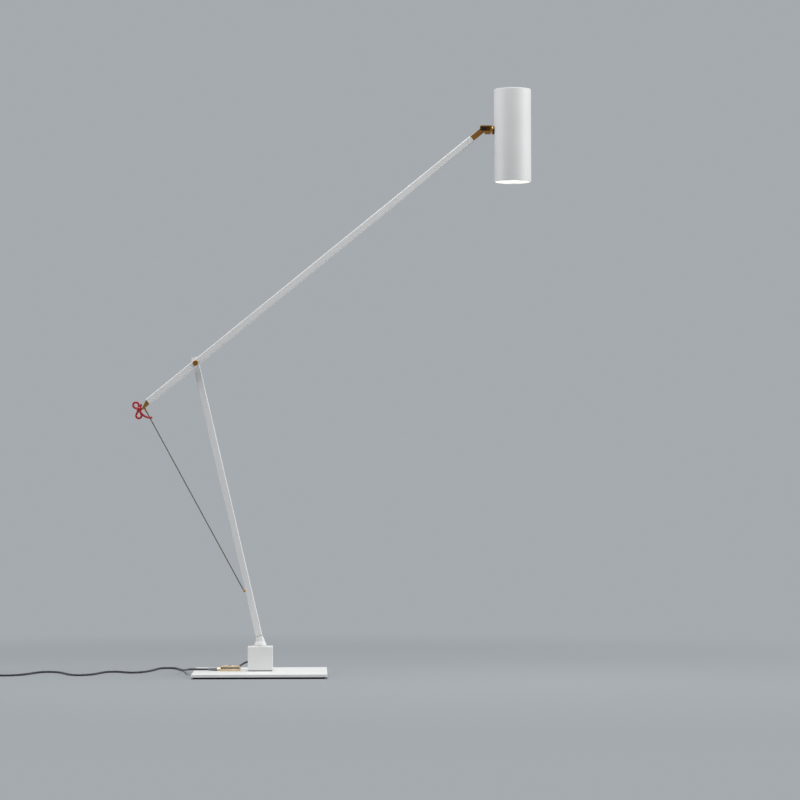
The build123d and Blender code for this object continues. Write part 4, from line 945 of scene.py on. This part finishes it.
@dataclass
class BalanceLine(Assembly):
    """The fine wire rope from the mast's eyelet to the arm's tail.

    It is made in two lengths, cut square at the parting. The two bend rates that it lists give the same turn at the
    parting.
    """

    radius: float = 0.0009
    strands: int = 5
    lay: float = 0.0085
    short: float = 0.0052
    bulge: float = 1.12
    points_a_lay: int = 12
    parting: float = 0.9094
    bends: tuple[Pair, Pair] = ((0.2983, 2.0359), (0.8603, 1.0))

    def at(self, share: float) -> Vector:
        """The point at a share of the way from the eyelet to the tail."""
        low, high = Vector(self.sizes.eyelet), Vector(self.sizes.tail_pin)
        return low + (high - low) * share

    def rope(self) -> Piece:
        """Strands that wind round the line from end to end.

        Returns:
            The whole rope.
        """
        low, high = self.at(0.0), self.at(1.0)
        along = (high - low).normalized()
        top = high - along * self.short
        length = (top - low).length
        half_share = math.sin(math.pi / self.strands)
        strand = self.radius * half_share / (1 + half_share) * self.bulge
        tree = Tree(
            "balance_rope", Strands=self.strands, Turns=length / self.lay, Winding=self.radius - strand, Strand=strand)
        count, turns, winding, thickness = tree.given
        line = tree.add("GeometryNodeCurvePrimitiveLine", {"Start": low, "End": top}).outputs[0]
        fine = tree.add("GeometryNodeResampleCurve", {
            "Curve": line, "Count": int(self.points_a_lay * length / self.lay)}).outputs[0]
        several = tree.add("GeometryNodeDuplicateElements", {"Geometry": fine, "Amount": count}, domain="SPLINE")
        factor = tree.add("GeometryNodeSplineParameter").outputs["Factor"]
        share = tree.maths("DIVIDE", several.outputs["Duplicate Index"], count)
        angle = tree.maths("MULTIPLY", tree.maths("ADD", tree.maths("MULTIPLY", factor, turns), share), TURN)
        out_side, out_front = (
            tree.scaled(axis, tree.maths("MULTIPLY", tree.maths(wave, angle), winding))
            for axis, wave in ((side_of(along), "COSINE"), (DEEP, "SINE")))
        wound = tree.moved(several.outputs["Geometry"], tree.vectors("ADD", out_side, out_front))
        return tree.piece(tree.tube(wound, tree.circle(6, thickness), True), Look.ROPE)

    def length_of(self, rope: Piece, name: str, upper: bool) -> Piece:
        """One length of the rope, cut square at the parting and closed there.

        Args:
            rope: The whole rope.
            name: Name of the new piece.
            upper: Whether the length above the parting is kept, or the one below.

        Returns:
            The new piece.
        """
        work = bmesh.new()
        work.from_mesh(rope.data)
        bmesh.ops.bisect_plane(
            work, geom=[*work.verts, *work.edges, *work.faces], dist=1e-7, plane_co=self.at(self.parting),
            plane_no=(self.at(1.0) - self.at(0.0)).normalized(), clear_inner=upper, clear_outer=not upper)
        bmesh.ops.holes_fill(work, edges=[edge for edge in work.edges if edge.is_boundary], sides=0)
        bmesh.ops.recalc_face_normals(work, faces=work.faces)
        return written(work, name, Look.ROPE)

    def build(self) -> None:
        """Make the line's two lengths."""
        rope = self.rope()
        for name, upper, (bend_from, bend_to) in (
                ("balance_rope_lower", False, self.bends[0]), ("balance_rope_upper", True, self.bends[1])):
            part = self.length_of(rope, name, upper)
            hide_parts("balance_line")
            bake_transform(part)
            LOG.info("%s bends between mast and arm", part.name)
        bpy.data.objects.remove(rope, do_unlink=True)


@dataclass
class Arm(Assembly):
    """The long tube with its two brass ends and the pivot screw."""

    def build(self) -> None:
        """Dress the arm."""
        sizes = self.sizes
        tube = round_over(twin("arm_tube", Look.PAINT), Vector(sizes.pin), sizes.arm_along, sizes)
        settle(tube, Body.ARM, "arm_tube")
        self.skins(
            Body.ARM,
            (Look.ARM_BRASS, 0.0003, "arm_front_tongue"),
            (Look.ARM_BRASS, 0.0006, "arm_rear_tip"),
            (Look.SCREW_BRASS, 0.0, "pivot_screw", "pivot_nut"),
            (Look.BRASS, 0.0001, "tail_pin", "line_end_eye"))
        dress(Look.ZINC, "arm_bush")
        dress(Look.DARK_STEEL, "arm_grub_screws")
        dress(Look.WIRE, "arm_wires")


@dataclass
class Ornament(Assembly):
    """The glossy red bow at the arm's tail, with the turns that bind its knot."""

    knot: Point = (-0.1815, -0.011, 0.39897)
    upper: Point = (-0.1864, -0.011, 0.40527)
    lower: Point = (-0.1820, -0.011, 0.38967)
    ring_radius: float = 0.0036
    rod: float = 0.0008
    ring_step: float = 0.0015

    def binding(self) -> Piece:
        """Three turns round the knot, across the line between the loops.

        Returns:
            The piece.
        """
        tree = Tree("knot_binding", Step=self.ring_step, Radius=self.ring_radius)
        step, radius = tree.given
        axis = (Vector(self.upper) - Vector(self.lower)).normalized()
        line = tree.row(3, tree.scaled(axis, step), Vector(self.knot) - axis * self.ring_step)
        ring = tree.tube(tree.circle(40, radius), tree.circle(12, self.rod))
        turns = tree.copies(line, ring, tuple(axis.to_track_quat("Z", "Y").to_euler()))
        return tree.piece(turns, Look.RED)

    def build(self) -> None:
        """Dress the bow."""
        settle(twin("red_bow", Look.RED, 0.0, 50.0), Body.ARM, "red_bow")
        settle(self.binding(), Body.ARM)


@dataclass
class Knuckle(Assembly):
    """The block that tilts on the arm's tongue and carries the head."""

    def build(self) -> None:
        """Dress the knuckle."""
        self.skins(
            Body.KNUCKLE,
            (Look.KNUCKLE_BRASS, 0.0002, "head_knuckle"),
            (Look.DARK_STEEL, 0.0001, "hinge_screw", "hinge_nut"))
        dress(Look.ZINC, "stem_bolt", "stem_nut")


@dataclass
class Head(Assembly):
    """The cylinder head with its lamp."""

    radius: float = 0.028
    wall: float = 0.0015
    cap: float = 0.002
    rim_round: float = 0.0004
    cap_round: float = 0.0006
    spigot: float = 0.006
    spigot_play: float = 0.00005
    glass_radius: float = 0.02375
    glass_thick: float = 0.0015
    glass_rise: float = 0.0004
    light_power: float = 0.7
    light_colour: Colour = (1.0, 0.96, 0.90)
    light_cone: float = math.radians(64)
    light_blend: float = 0.9
    light_radius: float = 0.02
    light_drop: float = 0.004

    @property
    def centre(self) -> Point:
        """The axis at the rim."""
        return (self.sizes.head_x, self.sizes.arm_y, self.sizes.rim)

    def arc(self, radius: float, height: float, size: float, start: float, end: float) -> list[tuple[float, float]]:
        """Points of a rounded corner in a section, between two angles in degrees."""
        angles = [math.radians(start + (end - start) * step / 4) for step in range(5)]
        return [(radius + size * math.cos(angle), height + size * math.sin(angle)) for angle in angles]

    def shade(self) -> Piece:
        """The tube of the head with its rounded rim.

        Returns:
            The piece.
        """
        inner, top, soft = self.radius - self.wall, self.sizes.head_length - self.cap, self.rim_round
        profile = [
            (self.radius, top), *self.arc(self.radius - soft, soft, soft, 0, -90),
            *self.arc(inner + soft, soft, soft, -90, -180), (inner, top)]
        return lathe("head_tube", self.centre, profile, Look.PAINT, closed=True)

    def lid(self) -> Piece:
        """The closed top with its spigot.

        Returns:
            The piece.
        """
        top, soft = self.sizes.head_length, self.cap_round
        bore = self.radius - self.wall - self.spigot_play
        under = top - self.cap
        profile = [
            (0.0, top), *self.arc(self.radius - soft, top - soft, soft, 90, 0), (self.radius, under), (bore, under),
            (bore, under - self.spigot), (bore - self.wall, under - self.spigot), (bore - self.wall, under),
            (0.0, under)]
        return lathe("head_lid", self.centre, profile, Look.PAINT)

    def front_glass(self) -> Piece:
        """The lamp's front glass, a little domed.

        Returns:
            The piece.
        """
        dome = [(self.glass_radius * step / 6, self.glass_rise * (step / 6) ** 2) for step in range(1, 7)]
        profile = [(0.0, 0.0), *dome, (self.glass_radius, self.glass_thick), (0.0, self.glass_thick)]
        return lathe("front_glass", self.sizes.lamp_front, profile, Look.GLOW, 96)

    def light(self) -> None:
        """The light that falls out of the mouth."""
        data = bpy.data.lights.new("lamp_light", "SPOT")
        data.energy, data.color = self.light_power, self.light_colour
        data.spot_size, data.spot_blend, data.shadow_soft_size = self.light_cone, self.light_blend, self.light_radius
        lamp = link("lamp_light", data)
        x, y, z = self.sizes.lamp_front
        lamp.location = (x, y, z - self.light_drop)
        lamp.parent = frame["bodies"][Body.HEAD.value]

    def build(self) -> None:
        """Make the head."""
        settle(self.shade(), Body.HEAD, "head_shade")
        settle(self.lid(), Body.HEAD, "head_top_cap")
        settle(self.front_glass(), Body.HEAD, "lamp_lens")
        self.skins(
            Body.HEAD,
            (Look.HEAD_INSIDE_LIT, 0.0002, "lamp_ring"),
            (Look.BLACK, 0.00015, "stem_washer"),
            (Look.SILVERED, 0.0, "reflector_lamp"))
        dress(Look.BLACK, "stem_backing")
        dress(Look.ZINC, "holder_post")
        dress(Look.CERAMIC, "lamp_holder")
        self.light()


@dataclass
class MainsCord(Assembly):
    """The cord from the dimmer to the plug, and the short one to the cube."""

    radius: float = 0.0015
    rest: float = 0.00155
    coil_centre: Pair = (-0.428, 0.0189)
    coil_z: float = 0.0023
    coil_outer: float = 0.0219
    coil_step: float = 0.0039
    full_layers: int = 3
    layer_turns: int = 2
    climb_turns: float = 0.5
    last_turns: float = 0.75
    points_a_turn: int = 16
    plug_x: float = -0.434
    plug_start: float = 0.084
    plug_z: float = 0.0065
    bars: int = 5
    bar_from: float = 0.0045
    bar_step: float = 0.0029
    bar_out: float = 0.0054
    bar_lift: float = 0.000145
    bar_length: float = 0.0125
    bar_gain: float = 0.0021
    bar_half: Pair = (0.00045, 0.0006)

    def free_run(self) -> list[Point]:
        """The route from the dimmer over the plate's edge and along the table.

        Returns:
            Control points in metres.
        """
        along_table = [
            (-0.130, 0.164), (-0.135, 0.186), (-0.146, 0.194), (-0.158, 0.188), (-0.163, 0.165), (-0.168, 0.125),
            (-0.178, 0.082), (-0.190, 0.063), (-0.204, 0.066), (-0.216, 0.090), (-0.234, 0.091), (-0.243, 0.062),
            (-0.250, 0.024), (-0.262, 0.000), (-0.280, -0.002), (-0.291, 0.028), (-0.301, 0.064), (-0.314, 0.090),
            (-0.331, 0.094), (-0.344, 0.066), (-0.352, 0.030), (-0.364, 0.004), (-0.380, -0.005),
        ]
        return [
            (-0.060, -0.002, 0.0097), (-0.078, -0.002, 0.0097), (-0.094, -0.0024, 0.0097), (-0.106, 0.008, 0.0093),
            (-0.111, 0.034, 0.0072), (-0.114, 0.074, 0.0044), (-0.121, 0.120, 0.0019),
            *((x, y, self.rest) for x, y in along_table),
            (-0.398, -0.0055, 0.0019), (-0.411, -0.003, self.coil_z), (-0.425, -0.003, self.coil_z),
        ]

    def coil(self) -> list[Point]:
        """Turns in layers, wound clockwise as seen from above, climbing a layer in half a turn.

        Returns:
            Control points in metres.
        """
        layer_span = self.layer_turns + self.climb_turns
        total = self.full_layers * layer_span + self.last_turns
        points = []
        for step in range(round(total * self.points_a_turn) + 1):
            turns = step / self.points_a_turn
            layer = min(int(turns / layer_span), self.full_layers)
            part = turns - layer * layer_span
            spun = min(part / self.layer_turns, 1.0)
            climbed = max(part - self.layer_turns, 0.0) / self.climb_turns
            inward = spun if layer % 2 == 0 else 1 - spun
            radius = self.coil_outer - inward * self.layer_turns * self.coil_step
            angle = -QUARTER - TURN * turns
            points.append((
                self.coil_centre[0] + radius * math.cos(angle), self.coil_centre[1] + radius * math.sin(angle),
                self.coil_z + (layer + climbed) * self.coil_step))
        return points

    def tail(self, end: Point) -> list[Point]:
        """The route from the coil's end into the plug.

        Args:
            end: The coil's last point.

        Returns:
            Control points in metres.
        """
        x, y, z = end
        return [
            (x, y + 0.003, z), (x, y + 0.014, z), (x + 0.004, y + 0.027, 0.0114), (x + 0.011, y + 0.039, 0.0078),
            (self.plug_x, y + 0.052, self.plug_z), (self.plug_x, self.plug_start + 0.008, self.plug_z),
        ]

    def plug_grip(self) -> Piece:
        """Grip bars across the plug's two broad faces, longer towards the pins.

        Returns:
            The piece.
        """
        tree = Tree("plug_grip", Bars=self.bars, Step=self.bar_step, Length=self.bar_length, Gain=self.bar_gain)
        count, step, first, gain = tree.given
        index = tree.index()
        length = tree.maths("ADD", first, tree.maths("MULTIPLY", index, gain))
        size = tree.vector(X=self.bar_half[0], Y=self.bar_half[1], Z=length)
        bar = tree.add("GeometryNodeMeshCylinder", {"Vertices": 12, "Radius": 1.0, "Depth": 1.0}).outputs["Mesh"]
        both = tree.add("GeometryNodeJoinGeometry")
        for side in (1.0, -1.0):
            line = tree.row(count, tree.vector(Y=step), (
                self.plug_x, self.plug_start + self.bar_from, self.plug_z + side * self.bar_out))
            raised = tree.moved(line, tree.vector(Z=tree.maths("MULTIPLY", index, side * self.bar_lift)))
            tree.links.new(tree.copies(raised, bar, (0.0, QUARTER, 0.0), size), both.inputs[0])
        return tree.piece(both.outputs[0], Look.BLACK)

    def build(self) -> None:
        """Make both cords and dress the plug."""
        coil = self.coil()
        route = self.free_run() + coil + self.tail(coil[-1])
        cord = settle(nurbs("mains_cord", route, self.radius, Look.SHEATH), Body.BASE,
                      "power_cord", "cord_coil", "cord_tail")
        plug = settle(twin("plug_body", Look.BLACK, 0.0012, 25.0), Body.BASE, "plug_body")
        grip = settle(self.plug_grip(), Body.BASE)
        pins = settle(twin("plug_pins", Look.PINS), Body.BASE, "plug_pins")
        tie = settle(twin("coil_tie", Look.BLACK, 0.00015), Body.BASE, "coil_tie")
        short = [
            (-0.036, 0.008, 0.0089), (-0.036, 0.020, 0.0089), (-0.031, 0.031, 0.0135), (-0.022, 0.0375, 0.0185),
            (-0.0115, 0.0365, 0.0205), (-0.006, 0.0285, 0.020), (-0.006, 0.013, 0.020),
        ]
        jumper = settle(nurbs("jumper_lead", short, self.radius, Look.SHEATH), Body.BASE, "jumper_cord")


# ---- studio
@dataclass(frozen=True)
class SoftBox:
    """A large square lamp."""

    name: str
    place: Point
    target: Point
    size: float
    power: float
    colour: Colour


@dataclass
class Studio:
    """Floor, backdrop, lights and camera."""

    tone: Colour = (0.38, 0.405, 0.43)
    floor_colour: Colour = (0.325, 0.345, 0.365)
    floor_reach: float = 30.0
    floor_grain: float = 420.0
    floor_roughness: Pair = (0.86, 0.94)
    floor_specular: float = 0.12
    fade_from: float = 0.35
    fade_to: float = 1.6
    sky_colour: Colour = (0.96, 0.98, 1.0)
    sky_strength: float = 0.17
    boxes: tuple[SoftBox, ...] = (
        SoftBox("right_soft_box", (3.3, -0.7, 1.1), (0.1, 0.0, 0.45), 2.0, 67.0, (1.0, 0.995, 0.98)),
        SoftBox("left_soft_box", (-3.2, -0.5, 0.9), (0.1, 0.0, 0.45), 1.8, 44.0, (0.98, 0.99, 1.0)),
        SoftBox("top_soft_box", (0.1, -0.4, 3.0), (0.0, 0.0, 0.1), 2.0, 80.0, (1.0, 1.0, 1.0)),
    )
    lens: float = 133.97
    sensor: float = 36.0
    clip: Pair = (0.1, 100.0)
    eye: Point = (0.0716, -4.4803, 0.2488)
    yaw: float = 0.03088
    pitch: float = 0.03669
    roll: float = -0.00131

    @staticmethod
    def seen(graph: Nodes) -> Socket:
        """1 for rays from the camera, off gloss and through glass, else 0."""
        rays = graph.add("ShaderNodeLightPath").outputs
        first = graph.maths("MAXIMUM", rays["Is Camera Ray"], rays["Is Glossy Ray"])
        return graph.maths("MAXIMUM", first, rays["Is Transmission Ray"])

    def ground(self) -> None:
        """A pale floor that keeps the lamp's shadow and turns into the backdrop further off."""
        mesh = bpy.data.meshes.new("studio_floor")
        reach = self.floor_reach
        mesh.from_pydata(
            [(-reach, -reach, 0), (reach, -reach, 0), (reach, reach, 0), (-reach, reach, 0)], [], [(0, 1, 2, 3)])
        graph = Graph("studio_floor")
        material = graph.close({
            "Base Color": (*self.floor_colour, 1.0),
            "Roughness": graph.between(graph.noise(self.floor_grain), *self.floor_roughness),
            "Specular IOR Level": self.floor_specular})
        lit = graph.output.inputs["Surface"].links[0].from_socket
        away = graph.add("ShaderNodeVectorMath", {0: graph.place}, operation="LENGTH").outputs["Value"]
        far = graph.add("ShaderNodeMapRange", {
            "Value": away, "From Min": self.fade_from, "From Max": self.fade_to}, interpolation_type="SMOOTHSTEP")
        share = graph.maths("MULTIPLY", far.outputs["Result"], self.seen(graph))
        flat = graph.add("ShaderNodeEmission", {"Color": (*self.tone, 1.0), "Strength": 1.0}).outputs[0]
        mix = graph.add("ShaderNodeMixShader", {0: share, 1: lit, 2: flat})
        graph.links.new(mix.outputs[0], graph.output.inputs["Surface"])
        mesh.materials.append(material)
        link("studio_floor", mesh)

    def sky(self) -> None:
        """Even light all round; the camera, gloss and glass see the backdrop's colour."""
        world = bpy.data.worlds.new("studio")
        bpy.context.scene.world = world
        world.use_nodes = True
        graph = Nodes(world.node_tree)
        graph.nodes.clear()
        lighting, backdrop = (
            graph.add("ShaderNodeBackground", {"Color": (*colour, 1.0), "Strength": strength}).outputs[0]
            for colour, strength in ((self.sky_colour, self.sky_strength), (self.tone, 1.0)))
        mix = graph.add("ShaderNodeMixShader", {0: self.seen(graph), 1: lighting, 2: backdrop})
        graph.add("ShaderNodeOutputWorld", {"Surface": mix.outputs[0]})

    def lamps(self) -> None:
        """Large soft boxes at both sides and above."""
        for box in self.boxes:
            data = bpy.data.lights.new(box.name, "AREA")
            data.shape, data.size, data.energy, data.color = "SQUARE", box.size, box.power, box.colour
            lamp = link(box.name, data)
            lamp.location = box.place
            lamp.rotation_euler = (Vector(box.target) - Vector(box.place)).to_track_quat("-Z", "Y").to_euler()

    def camera(self) -> None:
        """A long lens, low down and turned a little up and to the right."""
        data = bpy.data.cameras.new("camera")
        data.sensor_width, data.lens = self.sensor, self.lens
        data.clip_start, data.clip_end = self.clip
        eye = link("camera", data)
        ahead = Vector((
            math.sin(self.yaw) * math.cos(self.pitch), math.cos(self.yaw) * math.cos(self.pitch),
            math.sin(self.pitch)))
        eye.matrix_world = (
            Matrix.Translation(self.eye) @ Matrix.Rotation(-self.roll, 4, ahead)
            @ ahead.to_track_quat("-Z", "Y").to_matrix().to_4x4())
        bpy.context.scene.camera = eye

    def build(self) -> None:
        """Set the studio up."""
        self.ground()
        self.sky()
        self.lamps()
        self.camera()
        bpy.context.scene.view_settings.view_transform = "Standard"


def main() -> None:
    """Build the lamp and its studio."""
    logging.basicConfig(level=logging.INFO, format="%(name)s: %(message)s")
    Studio().build()
    for kind in (MainsCord, Base, Dimmer, Mast, BalanceLine, Arm, Ornament, Knuckle, Head):
        kind(SIZES).build()


if __name__ == "__main__":
    main()
